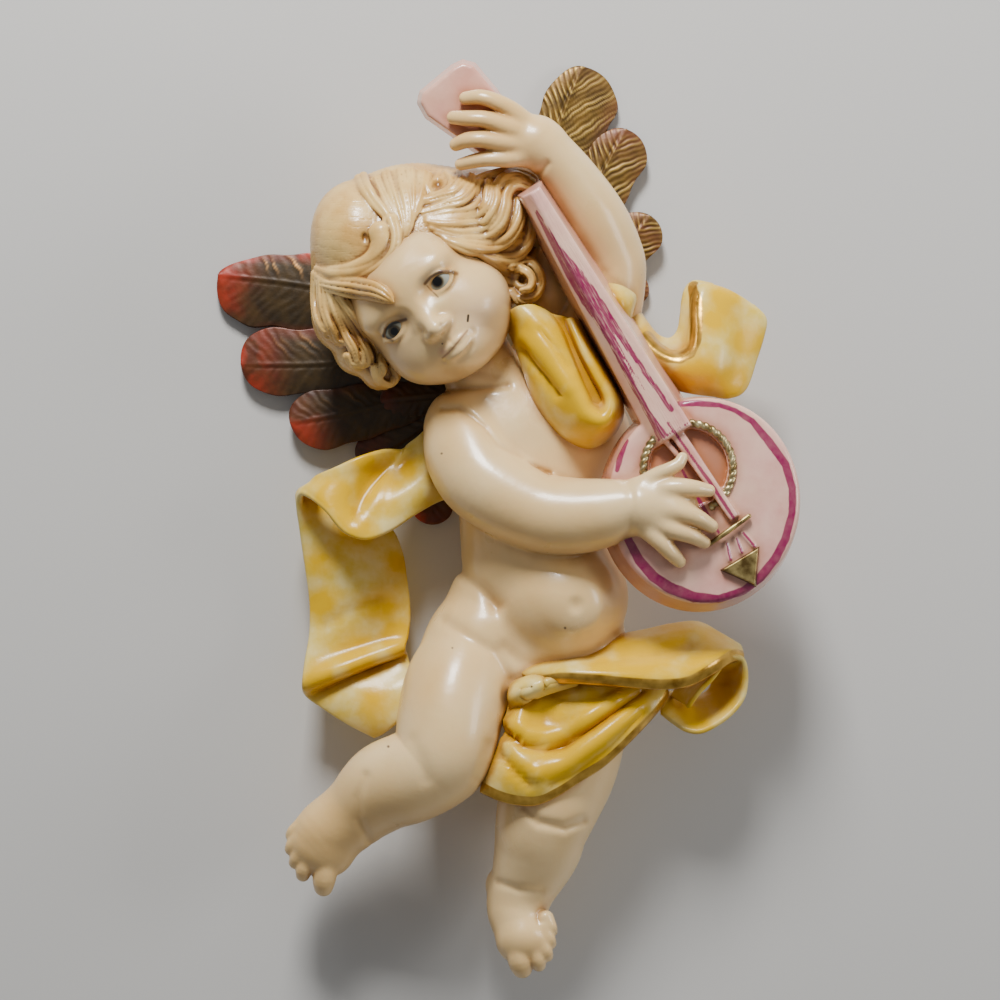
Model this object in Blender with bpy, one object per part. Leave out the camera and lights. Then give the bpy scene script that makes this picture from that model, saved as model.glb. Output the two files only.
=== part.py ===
"""Cherub wall plaque: a moulded and painted cherub playing a banjo, with two wings fixed on behind.

The front faces -Y, +Z is up, and the wall is the plane y = 0. The origin is on the flat back, between the
wings, where the plaque is held to the wall.

Every shape is set out on a front drawing, in millimetres: (across, up, out). Across and up are read on the
wall plane as seen from VIEW_DISTANCE in front of it, and out is the depth towards the eye. at() carries a
point of the drawing to its true place along that line of sight.
"""

import math

import bmesh
import bpy
import numpy as np
from mathutils import Matrix, Vector

MM = 0.001
VIEW_DISTANCE = 650.0
EYE_ACROSS, EYE_UP = -13.0, -37.5

WING_SPACE = 9.3  # depth of the pockets behind the shoulders
WING_THICKNESS = 9.0
WING_ROOT_LEFT, WING_ROOT_RIGHT = -14.0, 13.0  # the spine pad of the back runs between these
SPINE_PAD_TOP = 34.0
POCKET_FLOOR_LEFT, POCKET_FLOOR_RIGHT = -62.0, 8.0  # lowest point of each wing's pocket
REACH = 300.0  # a cutter's free sides lie this far off
ROOT_GAP = 0.3
CLOTH_THICKNESS = 3.4

VOXEL = 1.2  # cell of the remesh that fuses each casting
FIGURE_SHARE = 0.0355  # faces kept by the last decimation of the figure
WING_SHARE = 0.035

HEAD = {"centre": (-44.0, 52.0, 30.0), "radii": (40.0, 37.0, 27.0)}
FACE_TILT = math.radians(41)  # the head leans this far towards the viewer's left


def shrink(out):
    """How much smaller the drawing gets at this depth, which is nearer the eye than the wall."""
    return (VIEW_DISTANCE - out) / VIEW_DISTANCE


def at(across, up, out):
    """The true place of a point of the drawing."""
    share = shrink(out)
    return Vector(
        (EYE_ACROSS + (across - EYE_ACROSS) * share, -out, EYE_UP + (up - EYE_UP) * share)
    ) * MM


def on_head(across, up, lift):
    """Depth of the hair's surface at a point of the drawing, raised by lift."""
    (ca, cu, co), (ra, ru, ro) = HEAD["centre"], HEAD["radii"]
    inside = 1 - ((across - ca) / ra) ** 2 - ((up - cu) / ru) ** 2
    return co + ro * math.sqrt(max(inside, 0.0)) + lift


def smooth_path(stations, steps):
    """A Catmull-Rom curve through rows of numbers, with this many steps between two of them."""
    rows = np.array(stations, float)
    rows = np.vstack([2 * rows[0] - rows[1], rows, 2 * rows[-1] - rows[-2]])
    found = []
    for i in range(1, len(rows) - 2):
        for t in np.arange(steps) / steps:
            a, b, c, d = rows[i - 1 : i + 3]
            found.append(
                0.5 * (2 * b + (c - a) * t + (2 * a - 5 * b + 4 * c - d) * t**2
                       + (3 * b - a - 3 * c + d) * t**3)
            )
    found.append(rows[-2])
    return found


def add_tube(bm, stations, sides=12, steps=4):
    """A round limb through (across, up, out, radius) stations, with domed ends."""
    rows = smooth_path(stations, steps)
    places = [at(*row[:3]) for row in rows]
    radii = [max(row[3], 0.3) * shrink(row[2]) * MM for row in rows]
    ahead = [
        (places[min(i + 1, len(places) - 1)] - places[max(i - 1, 0)]).normalized()
        for i in range(len(places))
    ]
    dome = [math.radians(angle) for angle in (75, 50, 25)]
    spine = [(places[0] - ahead[0] * radii[0] * math.sin(a), ahead[0], radii[0] * math.cos(a)) for a in dome]
    spine += list(zip(places, ahead, radii))
    spine += [
        (places[-1] + ahead[-1] * radii[-1] * math.sin(a), ahead[-1], radii[-1] * math.cos(a))
        for a in reversed(dome)
    ]
    side = ahead[0].orthogonal().normalized()
    rings = []
    for place, along, radius in spine:
        side = (side - along * side.dot(along)).normalized()
        other = along.cross(side)
        turns = [2 * math.pi * k / sides for k in range(sides)]
        rings.append(
            [bm.verts.new(place + (side * math.cos(t) + other * math.sin(t)) * radius) for t in turns]
        )
    for ring, following in zip(rings, rings[1:]):
        for k in range(sides):
            bm.faces.new((ring[k], ring[k - 1], following[k - 1], following[k]))
    bm.faces.new(rings[0])
    bm.faces.new(reversed(rings[-1]))


def add_egg(bm, centre, radii, tilt=0.0):
    """An ellipsoid, with its radii across, up and out, turned by tilt in the plane of the drawing."""
    share = shrink(centre[2]) * MM
    size = Matrix.Diagonal((radii[0] * share, radii[2] * MM, radii[1] * share, 1))
    place = Matrix.Translation(at(*centre)) @ Matrix.Rotation(-tilt, 4, "Y") @ size
    bmesh.ops.create_uvsphere(bm, u_segments=28, v_segments=18, radius=1, matrix=place)


def add_plate(bm, outline, front, back, back_shift=(0.0, 0.0), back_grow=1.0):
    """A flat plate with this outline, between two depths. Its back may be shifted and larger."""
    middle = np.mean(np.array(outline), axis=0)
    face = [bm.verts.new(at(a, u, front)) for a, u in outline]
    rear = [
        bm.verts.new(
            at(middle[0] + (a - middle[0]) * back_grow + back_shift[0],
               middle[1] + (u - middle[1]) * back_grow + back_shift[1], back)
        )
        for a, u in outline
    ]
    sides = [bm.faces.new((face[k - 1], face[k], rear[k], rear[k - 1])) for k in range(len(face))]
    caps = [bm.faces.new(face), bm.faces.new(list(reversed(rear)))]
    bmesh.ops.recalc_face_normals(bm, faces=sides + caps)


def add_object(bm, obj):
    """The evaluated mesh of a helper object, which is then removed."""
    bpy.context.view_layer.update()
    bm.from_object(obj, bpy.context.evaluated_depsgraph_get())
    bpy.data.objects.remove(obj)


def add_cloth(bm, rows, thickness=CLOTH_THICKNESS):
    """A folded sheet through rows of (across, up, out) points, thickened to a solid."""
    grid = bmesh.new()
    points = [[grid.verts.new(at(*point)) for point in row] for row in rows]
    for row, following in zip(points, points[1:]):
        for k in range(1, len(row)):
            grid.faces.new((row[k - 1], row[k], following[k], following[k - 1]))
    mesh = bpy.data.meshes.new("cloth")
    grid.to_mesh(mesh)
    grid.free()
    sheet = bpy.data.objects.new("cloth", mesh)
    bpy.context.scene.collection.objects.link(sheet)
    rounding = sheet.modifiers.new("rounding", "SUBSURF")
    rounding.levels = rounding.render_levels = 2
    skin = sheet.modifiers.new("thickness", "SOLIDIFY")
    skin.thickness = thickness * MM
    skin.offset = 0
    add_object(bm, sheet)


def across_rows(edges, bulge=0.0, columns=5):
    """Rows between pairs of edge points, (first, last), raised in the middle by bulge."""
    rows = []
    for first, last in edges:
        first, last = np.array(first, float), np.array(last, float)
        row = []
        for k in range(columns):
            share = k / (columns - 1)
            point = first + (last - first) * share
            point[2] += bulge * math.sin(math.pi * share)
            row.append(tuple(point))
        rows.append(row)
    return rows


def circle(centre, radius, count):
    """Points of a circle of the drawing."""
    return [
        (centre[0] + radius * math.cos(2 * math.pi * k / count),
         centre[1] + radius * math.sin(2 * math.pi * k / count))
        for k in range(count)
    ]


def finished(bm, name, colour, roughness, metallic=0.0):
    """The mesh as a named object with its own material, fused into one body by a fine remesh."""
    mesh = bpy.data.meshes.new(name)
    bm.to_mesh(mesh)
    bm.free()
    obj = bpy.data.objects.new(name, mesh)
    bpy.context.scene.collection.objects.link(obj)
    material = bpy.data.materials.new(name)
    material.use_nodes = True
    shader = material.node_tree.nodes["Principled BSDF"]
    shader.inputs["Base Color"].default_value = (*colour, 1)
    shader.inputs["Roughness"].default_value = roughness
    shader.inputs["Metallic"].default_value = metallic
    mesh.materials.append(material)
    fuse = obj.modifiers.new("fuse", "REMESH")
    fuse.mode = "VOXEL"
    fuse.voxel_size = VOXEL * MM
    return obj


def soften(obj, repeats):
    """Takes the steps of the remesh out of the surface."""
    smooth = obj.modifiers.new("soften", "SMOOTH")
    smooth.factor = 0.5
    smooth.iterations = repeats


def thin_out(obj, share):
    """Keeps this share of the faces, most of them where the form turns."""
    fewer = obj.modifiers.new("thin_out", "DECIMATE")
    fewer.ratio = share
    fewer.use_collapse_triangulate = True


def cut(obj, name, low, high):
    """Cuts a box, given by two corners in true millimetres, off an object."""
    bm = bmesh.new()
    low, high = Vector(low) * MM, Vector(high) * MM
    size = high - low
    place = Matrix.Translation((low + high) / 2) @ Matrix.Diagonal((*size, 1))
    bmesh.ops.create_cube(bm, size=1, matrix=place)
    mesh = bpy.data.meshes.new(name)
    bm.to_mesh(mesh)
    bm.free()
    cutter = bpy.data.objects.new(name, mesh)
    cutter.hide_render = True
    cutter.display_type = "WIRE"
    bpy.context.scene.collection.objects.link(cutter)
    boolean = obj.modifiers.new(name, "BOOLEAN")
    boolean.operation = "DIFFERENCE"
    boolean.object = cutter


# The body, seen from the front; its own right side is on the viewer's left.

def add_torso(bm):
    add_egg(bm, (-7, -16, 22), (32, 25, 25))  # chest
    add_egg(bm, (0, -45, 24), (28, 32, 24))  # ribs
    add_egg(bm, (2, -60, 25), (28.5, 24, 25))  # waist
    add_egg(bm, (9, -72, 27), (26.5, 28, 26))  # belly
    add_egg(bm, (-2, -93, 24), (37, 23, 23))  # hips
    add_egg(bm, (-3, -106, 30), (14, 12, 14))  # lap
    add_tube(bm, [(-14, -4, 24, 17), (-22, 14, 28, 14), (-30, 26, 32, 16)])  # neck
    add_tube(bm, [(-26, -8, 28, 15), (0, 0, 20, 19), (18, 14, 24, 15)])  # shoulders
    add_egg(bm, (24, -14, 24), (17, 20, 18))  # armpit, behind the banjo
    add_egg(bm, (0, -2, 8), (13, 30, 14))  # spine pad, flat on the wall


def add_right_arm(bm):
    """The arm that crosses the body to the strings."""
    add_tube(bm, [(-26, -13, 33, 15.5), (-18, -29, 42, 15), (1, -42, 50, 15), (20, -43.5, 53, 13.6),
                  (35, -40.5, 58, 10.4)], sides=18)
    add_egg(bm, (44, -41, 62), (11.5, 11, 6.5))  # palm
    fingers = [
        [(42, -32, 62, 3.2), (49, -27.5, 65, 2.6), (53.5, -25.5, 66, 2.3), (55.5, -21.5, 65, 2.1)],
        [(48, -34, 64, 3.4), (57, -33, 66, 3.0), (64.5, -33.5, 64, 2.3)],
        [(48, -40, 64, 3.4), (57, -43, 67, 3.0), (65.5, -47.5, 64, 2.4)],
        [(47, -46, 64, 3.2), (55, -50.5, 66, 2.9), (62, -53, 63, 2.3)],
        [(42, -49, 62, 3.6), (48.5, -56, 64, 3.0), (53.5, -60, 62, 2.4)],
    ]
    for finger in fingers:
        add_tube(bm, finger, sides=10)


def add_left_arm(bm):
    """The raised arm, whose hand holds the head of the banjo's neck."""
    add_tube(bm, [(17, 15, 26, 15), (26, 33, 26, 14), (29.5, 50, 30, 12.6), (20, 72, 36, 11.8), (7, 91, 42, 9.8)],
             sides=18)
    add_egg(bm, (-3, 97, 46), (10.5, 11, 7), math.radians(-30))  # back of the hand
    fingers = [
        [(-6, 104.5, 47, 3.2), (-13, 111.5, 51, 2.7), (-20, 113.5, 52, 2.5), (-25.5, 112.8, 50, 2.3)],
        [(-6, 101, 48, 3.3), (-15, 105.5, 53, 3.0), (-23, 106.6, 53, 2.7), (-29.5, 106, 51, 2.5)],
        [(-6, 96, 48, 3.2), (-16, 99, 53, 2.9), (-23, 98.7, 53, 2.7), (-28.5, 96.8, 50, 2.5)],
        [(-6, 91.5, 47, 3.2), (-15, 92, 51, 2.7), (-22, 90.4, 52, 2.4), (-27.5, 88.6, 50, 2.2)],
    ]
    for finger in fingers:
        add_tube(bm, finger, sides=10)


def add_right_leg(bm):
    """The leg with the bent knee."""
    add_tube(bm, [(-24, -88, 28, 21), (-30, -110, 37, 20.5), (-33.5, -131, 44, 19.2), (-38, -136, 44, 17.5),
                  (-55.5, -144, 38, 17), (-66, -153, 33, 13.6), (-70, -157, 31, 12.2)], sides=20)
    add_tube(bm, [(-71, -157, 30, 11.5), (-79, -162, 30, 12), (-84, -167, 29, 9.5)], sides=16)  # foot
    add_egg(bm, (-76, -171, 29), (9, 8, 8))  # ball of the foot
    toes = [(-79.5, -178.5, -79, -181, 4.2), (-87, -171.5, -88, -176.5, 3.2), (-89, -168, -91.5, -172.5, 2.8),
            (-89.5, -164, -92.5, -167.5, 2.7), (-88.5, -160, -91.5, -162, 2.6)]
    for root_a, root_u, tip_a, tip_u, radius in toes:
        add_tube(bm, [(root_a, root_u, 31, radius), (tip_a, tip_u, 31, radius)], sides=10)


def add_left_leg(bm):
    """The straight leg."""
    add_tube(bm, [(14, -98, 26, 22), (13, -120, 30, 23), (9, -138, 33, 22), (4, -156, 31, 18), (1, -169, 28, 15.6),
                  (-4, -181, 25, 12.6), (-7, -189, 24, 10.6)], sides=20)
    add_egg(bm, (-14, -181.5, 18), (5, 5.5, 6))  # heel
    add_tube(bm, [(-7, -190, 24, 10.2), (-4.5, -199, 28, 10.4), (-5.5, -205, 30, 8)], sides=16)  # foot
    toes = [(-6.5, -207, -5, -214, 4.3), (-0.5, -204, 1.6, -212, 2.8), (1.5, -201, 4.6, -208.3, 2.6),
            (3, -198, 6, -203.8, 2.4), (4, -195, 6.8, -199.2, 2.2)]
    for root_a, root_u, tip_a, tip_u, radius in toes:
        add_tube(bm, [(root_a, root_u, 35, radius), (tip_a, tip_u, 34, radius)], sides=10)


def add_head(bm):
    """A plain child's head on even proportions, leaning over: face, cheeks, nose, lips and chin."""
    add_egg(bm, (-39, 37, 38), (28.0, 30.5, 27.5), FACE_TILT)
    down = Vector((math.sin(FACE_TILT + math.radians(8)), -math.cos(FACE_TILT + math.radians(8))))
    across = Vector((-down.y, down.x))
    brow = Vector((-45.0, 35.3))

    def on_face(sideways, below):
        return tuple(brow + across * sideways + down * below)

    for side in (-1, 1):
        add_egg(bm, (*on_face(side * 11.5, 13.5), 44.5), (11.5, 12, 14))  # cheek
        add_egg(bm, (*on_face(side * 12.0, 1.5), 56), (5.5, 4.2, 7))  # closed form of the eye and its lids
    add_egg(bm, (*on_face(0, 26), 46), (10, 8, 12))  # chin
    add_tube(bm, [(*on_face(0, -2), 61, 2.6), (*on_face(0, 7), 65, 3.2), (*on_face(0, 10.5), 66.0, 4.0)])  # nose
    for side in (-1, 1):
        add_egg(bm, (*on_face(side * 3.2, 11.5), 63), (2.8, 2.8, 3))  # nostril
    add_tube(bm, [(*on_face(-6, 19.8), 57, 1.6), (*on_face(0, 19.3), 61.5, 2.6), (*on_face(6, 19.8), 57, 1.6)])
    add_tube(bm, [(*on_face(-4.5, 22.6), 57, 1.6), (*on_face(0, 23), 60.5, 2.6), (*on_face(4.5, 22.6), 57, 1.6)])


# Locks of hair: the way of each lock over the head, then its radius.
SWEPT_LOCKS = [
    ([(-43, 71), (-37, 75), (-30, 77), (-25.5, 82), (-27, 87)], 2.6),
    ([(-42, 69), (-33, 71.5), (-25, 73), (-20.5, 79), (-21, 85)], 2.8),
    ([(-40, 67), (-31, 68.5), (-22, 69.5), (-16, 75), (-13, 82), (-7, 85), (-1.5, 82)], 3.0),
    ([(-37, 65), (-27, 65), (-16, 65.5), (-10, 70.5), (-7.5, 77), (-5, 79)], 3.0),
    ([(-34, 62.5), (-23, 61.5), (-11, 61), (-4.5, 65), (-2.5, 72)], 3.0),
    ([(-30, 60), (-20, 57.5), (-8, 55.8), (-2, 59), (-1, 65)], 3.2),
    ([(-24, 57), (-15, 54), (-8, 52.6), (-1.5, 54), (2, 50), (3.5, 45), (0, 40), (-6, 39.5)], 3.0),
]
TOP_LOCKS = [
    ([(-64, 81), (-60, 76), (-55, 71.5), (-51.5, 66)], 3.2),
    ([(-58, 85), (-54, 79), (-50.5, 72), (-49.5, 64)], 2.7),
    ([(-52, 88), (-49.5, 80), (-48, 72), (-47, 66)], 2.6),
    ([(-46, 89), (-45.5, 81), (-45, 74), (-44.5, 69)], 2.5),
    ([(-40, 88), (-41, 82), (-42, 76), (-43, 71)], 2.5),
]
SIDE_LOCKS = [
    ([(-62, 67), (-56, 67.5), (-53, 62), (-54.5, 54), (-61, 48.5), (-71, 46.5), (-80, 49)], 4.2),
    ([(-80, 45.5), (-70, 43.5), (-61, 42), (-56, 38.5)], 2.8),
    ([(-79, 42), (-68, 39), (-60, 38), (-55, 37.2)], 2.2),
    ([(-82, 46), (-82, 36), (-81.5, 29), (-78, 25.5)], 3.6),
    ([(-80, 43), (-77.5, 33), (-74, 26), (-70, 21)], 3.4),
    ([(-78, 41), (-73, 32), (-68, 24.5), (-66, 17)], 3.4),
    ([(-76, 39), (-69.5, 30.5), (-62.5, 22), (-58, 14), (-56, 9.5)], 3.4),
]
CURLS = [(-69, 17, 5.0), (-64, 14, 5.0), (-57, 10, 6.0), (-52, 13, 4.6), (-76, 27, 5.0), (-3, 45, 7.0)]


def add_hair(bm):
    add_egg(bm, HEAD["centre"], HEAD["radii"])
    add_egg(bm, (-67, 61, 45), (17, 16.5, 16))  # smooth swirl over the temple
    for way, radius in SWEPT_LOCKS + TOP_LOCKS + SIDE_LOCKS:
        lift = 0.5 if radius < 4 else 2.0
        add_tube(bm, [(a, u, max(on_head(a, u, lift), 36), radius) for a, u in way], sides=10)
    for a, u, radius in CURLS:
        add_egg(bm, (a, u, max(on_head(a, u, 0), 36)), (radius, radius, radius))


def add_banjo(bm):
    add_plate(bm, circle((64, -38), 36.6, 48), 58, 43, back_shift=(-3.2, -1.6), back_grow=1.055)
    neck = [(-4, 76), (1.5, 79), (58, -8.5), (45, -16.5)]
    add_plate(bm, neck, 62, 33, back_shift=(-1.0, -1.0), back_grow=1.04)
    pegs = [(-43, 112), (-40.5, 118), (-27, 125.5), (-22.5, 126), (-15, 115), (2, 88), (-8, 80), (-31, 104),
            (-36, 103.5)]
    add_plate(bm, pegs, 47.5, 39, back_shift=(-1.0, -1.5))
    around = circle((57.5, -25.5), 17, 24)
    rosette = [(a, u, 58.6, 1.9) for a, u in around[20:] + around[:14]]
    add_tube(bm, rosette, sides=8, steps=2)
    add_plate(bm, [(50.5, -17), (54.5, -13), (76, -43.5), (71, -48)], 61, 56)  # strings
    add_tube(bm, [(65.5, -54, 60, 1.5), (72.5, -49, 60.8, 1.6), (79.5, -43.5, 60, 1.5)], sides=8)  # bridge
    add_plate(bm, [(71, -63.5), (83.5, -56), (83, -68.5)], 60.5, 56)  # tailpiece


# Drapery: rows across each sheet, from one edge to the other.

LEFT_RIBBON = [
    ((-34, -6, 20), (-32, -36, 20)), ((-44, -12, 23), (-42, -39, 25)), ((-50, -18, 23), (-53, -46, 28)),
    ((-56, -19, 28), (-64, -51, 34)), ((-67, -21.5, 28), (-73, -47.5, 35)), ((-78, -26, 24), (-81, -38.5, 31)),
    ((-85, -30.5, 15), (-88.5, -34, 26)), ((-74, -34, 12), (-89, -42, 20)), ((-58, -41, 12), (-88, -50, 18)),
    ((-50.5, -55, 14), (-86, -58, 18)), ((-49, -69, 14), (-84.5, -70, 18)), ((-48.5, -82, 14), (-84, -84, 17)),
    ((-50, -90, 16), (-85, -95, 19)), ((-52, -93, 18), (-87, -104, 24)), ((-50, -96, 14), (-85.5, -109, 17)),
    ((-49, -99, 15), (-79, -114, 17)), ((-47, -103, 16), (-69, -120, 19)), ((-44, -106, 17), (-59, -125.5, 19)),
    ((-38, -108, 17), (-46, -126, 17)),
]
CHEST_SWAG = [
    [(-10, 30, 38), (-9, 32, 44), (-7, 34, 47), (-2, 34, 44), (2, 34, 42)],
    [(-7, 21, 40), (-4, 24, 47), (0, 25.5, 51), (4, 27, 48), (8, 27, 45)],
    [(-3, 10, 42), (1, 12, 49), (7, 15.5, 54), (10, 18, 50), (13, 19, 46)],
    [(0, 0, 43), (5, 2, 51), (12.5, 5.5, 56), (15, 8, 51), (17, 11, 46)],
    [(5, -9, 43), (10, -5, 51), (17, -2.5, 57), (19, 1, 51), (20, 5, 46)],
    [(14, -15.5, 43), (17, -11, 51), (21, -7.5, 57), (22, -4, 52), (22, 1, 46)],
    [(22, -17, 42), (23.5, -12.5, 50), (25, -8.5, 57), (24.5, -5, 52), (23, 0, 46)],
    [(29, -12, 41), (29, -9, 50), (29, -5.5, 56), (27, -3, 52), (24.5, 1, 46)],
    [(33, -4, 40), (32.5, -2, 49), (30, 0, 55), (27.5, 0.5, 51), (25, 3, 46)],
    [(31, 6, 38), (30, 7, 48), (27, 8, 54), (25, 8, 50), (22, 9, 45)],
    [(25, 18, 36), (24, 18.5, 46), (21.5, 18.5, 52), (19, 19, 48), (16, 19, 44)],
    [(20, 30, 34), (18, 30, 43), (15, 30, 47), (12, 30, 45), (9, 30, 42)],
]
RIGHT_RIBBON = [
    [(31, 38, 24), (31, 35, 26), (31, 34, 31), (34, 23, 32), (37, 10, 30)],
    [(40, 33, 26), (39, 27, 29), (39, 26, 37), (42, 16, 36), (45, 6, 32)],
    [(44, 25.5, 26), (45, 18, 31), (44, 19.5, 41), (47, 12, 40), (51, 3, 33)],
    [(51, 22.5, 26), (53, 15, 31), (52, 15.5, 43), (56, 10, 41), (60, 2.5, 34)],
    [(54.5, 27, 27), (57, 20, 31), (59.5, 18.5, 43), (66, 12, 41), (71, 1.5, 34)],
    [(56, 33, 28), (59, 28, 32), (62, 26, 42), (72, 18, 39), (78.5, 3.5, 33)],
    [(56.5, 39, 29), (59.5, 35, 32), (63, 34, 40), (75, 25, 36), (83, 14, 30)],
    [(58, 43, 30), (60, 41, 32), (62.5, 41, 37), (74, 33, 33), (86, 29, 27)],
]
RIBBON_CORNER = [
    [(60, 43.5, 31), (70, 41, 31), (80, 36, 27)], [(62, 40, 34), (73, 34, 32), (85, 29, 27)],
]
HIP_WRAP = [
    [(-9, -103, 38), (-8, -106, 42), (-7, -109, 44), (-7, -112, 43), (-8, -116, 38)],
    [(2, -100.5, 40), (2, -102, 45), (2, -104, 49), (3, -107.5, 49), (4, -111, 44)],
    [(12, -99, 40), (12, -100.5, 46), (13, -102, 52), (13, -104.5, 52), (14, -107, 45)],
    [(23, -94.5, 38), (24, -99, 46), (25, -103, 53), (25, -106, 53), (27, -108, 45)],
    [(34, -88, 33), (36, -95, 44), (38, -103, 53), (39, -107, 53), (40, -109, 44)],
    [(46, -86.5, 30), (48, -94, 41), (50, -102.5, 51), (51, -106, 50), (52, -108, 42)],
    [(58, -84, 27), (60, -91, 37), (61, -99, 47), (62, -103.5, 47), (63, -106, 40)],
    [(68, -88, 24), (69, -91.5, 32), (70, -94.5, 41), (71, -98.5, 42), (72, -103, 37)],
    [(76, -93, 22), (77, -94.5, 28), (77.5, -95.5, 34), (77.5, -97.5, 34), (77, -101, 30)],
]
HIP_CURL = [
    [(76.5, -95, 34), (75, -98, 27), (70, -100, 22)], [(79, -104, 33), (75, -105, 25), (69, -104, 21)],
    [(78, -112, 33), (73, -110, 25), (67, -107, 21)], [(72, -119, 34), (69, -114, 26), (65, -109, 21)],
    [(64, -122.5, 35), (63, -117, 27), (62, -111, 22)], [(57, -120.5, 36), (58.5, -116, 30), (59, -110, 25)],
    [(54, -114, 38), (56, -111, 34), (58, -108, 30)],
]
HANGING_CLOTH = [
    [(-7, -111, 40), (-9, -120, 43), (-12, -130, 45), (-16, -139, 46), (-20, -145, 45)],
    [(1, -109, 42), (-1, -119, 46), (-4, -130, 47), (-7, -140, 50), (-9, -148.5, 48)],
    [(11, -108, 43), (9, -119, 46), (6, -130, 50), (3, -141, 51), (0, -150.5, 49)],
    [(22, -107, 43), (20, -116, 46), (18, -126, 49), (16, -135, 51), (14, -145, 49)],
    [(33, -107, 42), (32, -113, 45), (31, -120, 47), (29, -127, 49), (28, -135, 47)],
    [(42, -107, 40), (41.5, -111, 42), (41, -114, 44), (40, -118, 45), (39, -122.5, 43)],
    [(48, -106, 37), (48, -108, 38), (48, -109, 39), (48, -110, 40), (48, -111.5, 39)],
]
CLOTH_RIDGES = [
    [(-9, -126, 45, 2.0), (0, -130, 49, 2.4), (12, -128.5, 50, 2.4), (26, -120, 49, 2.2), (40, -110.5, 45, 1.6)],
    [(-9, -129, 46, 1.6), (-4, -137, 50, 2.0), (4, -141, 51, 2.0), (16, -137, 51, 1.6)],
    [(-20, -145.5, 45, 1.8), (-9, -149, 48, 1.9), (0, -151, 49, 1.9), (14, -145.5, 49, 1.8), (28, -135.5, 47, 1.7),
     (39, -123, 43, 1.6), (48, -111.5, 39, 1.5)],
    [(-9, -114, 42, 3.4), (-4, -108.5, 46, 3.6), (5, -105, 48, 2.6)],
    [(3, 31, 43, 2.6), (9, 24, 46, 2.8), (15, 12, 48, 2.8), (20, 1, 47, 2.2)],
    [(24, 41, 35, 3.2), (31, 40, 38, 3.4), (36.5, 37.5, 34, 1.8)],
    [(52, -117, 30, 5.0), (49, -112, 32, 5.0), (52, -108, 34, 3.0)],
]


def add_drapery(bm):
    add_cloth(bm, across_rows(LEFT_RIBBON, bulge=1.5))
    for rows in (CHEST_SWAG, RIGHT_RIBBON, RIBBON_CORNER, HIP_WRAP, HIP_CURL, HANGING_CLOTH):
        add_cloth(bm, rows)
    for ridge in CLOTH_RIDGES:
        add_tube(bm, ridge, sides=10)
    add_egg(bm, (24, -4, 38), (8, 12, 9))  # the swag's cloth, solid down to the chest
    add_egg(bm, (30, 22, 26), (12, 22, 10), math.radians(-20))  # cloth behind the banjo's neck


def make_figure():
    bm = bmesh.new()
    for add in (add_torso, add_right_arm, add_left_arm, add_right_leg, add_left_leg, add_head, add_hair,
                add_banjo, add_drapery):
        add(bm)
    figure = finished(bm, "cherub_figure", (0.86, 0.74, 0.58), 0.3)
    soften(figure, 2)
    thin_out(figure, FIGURE_SHARE)
    cut(figure, "wall_cut", (-REACH, 0, -REACH), (REACH, REACH, REACH))
    cut(figure, "left_pocket", (-REACH, -WING_SPACE, POCKET_FLOOR_LEFT), (WING_ROOT_LEFT, REACH, REACH))
    cut(figure, "right_pocket", (WING_ROOT_RIGHT, -WING_SPACE, POCKET_FLOOR_RIGHT), (REACH, REACH, REACH))
    cut(figure, "upper_pocket", (WING_ROOT_LEFT - 1, -WING_SPACE, SPINE_PAD_TOP), (REACH, REACH, REACH))
    return figure


# Feathers: tip, root, half width, and how far out the feather's middle lies.
LEFT_FEATHERS = [
    ((-119.5, 42), (-40, 34), 13.5, 3.6), ((-110.5, 14.5), (-36, 20), 13.0, 4.4),
    ((-92, -8), (-32, 8), 11.5, 5.2), ((-66, -24), (-28, 2), 9.0, 4.4), ((-41, -46), (-28, -4), 8.0, 4.0),
]
RIGHT_FEATHERS = [
    ((18.5, 125.5), (2, 62), 13.5, 3.6), ((35, 101.5), (16, 50), 10.5, 4.6), ((45.5, 64), (20, 34), 9.0, 4.0),
    ((40, 46), (20, 24), 7.0, 3.6),
]


def add_feather(bm, tip, root, half_width, middle):
    """A long leaf with a round tip, a raised middle and a rib."""
    tip, root = Vector(tip), Vector(root)
    along = (root - tip).normalized()
    side = Vector((-along.y, along.x))
    length = (root - tip).length
    rows = []
    for reach in (0.06, 0.25, 0.55, 1, 1.6, 2.4, 3.4, length / half_width):
        rounding = math.sqrt(1 - (1 - min(reach, 1)) ** 2)
        width = half_width * rounding * (1 - 0.4 * (reach * half_width / length) ** 2)
        place = tip + along * reach * half_width
        row = []
        for k in (-1, -0.55, 0, 0.55, 1):
            point = place + side * width * k
            row.append((point.x, point.y, middle - 1.6 * abs(k) ** 2))
        rows.append(row)
    add_cloth(bm, rows, thickness=4.0)
    add_tube(bm, [(*(tip + along * 4), middle + 1.6, 0.9), (*(tip + along * length * 0.5), middle + 1.8, 1.2),
                  (*root, middle + 1.8, 1.6)], sides=8)


def make_wing(name, feathers, shoulder, root_low, root_high, root_top):
    """A wing cut flat on the wall side, and cut back beside the spine pad."""
    bm = bmesh.new()
    for feather in feathers:
        add_feather(bm, *feather)
    for place, radii in shoulder:
        add_egg(bm, (*place, 4.5), radii)
    wing = finished(bm, name, (0.25, 0.13, 0.06), 0.42, 0.35)
    soften(wing, 2)
    thin_out(wing, WING_SHARE)
    cut(wing, name + "_wall_cut", (-REACH, -ROOT_GAP, -REACH), (REACH, REACH, REACH))
    cut(wing, name + "_front_cut", (-REACH, -REACH, -REACH), (REACH, -WING_THICKNESS, REACH))
    cut(wing, name + "_root_cut", (root_low, -REACH, -REACH), (root_high, REACH, root_top))
    return wing


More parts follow.
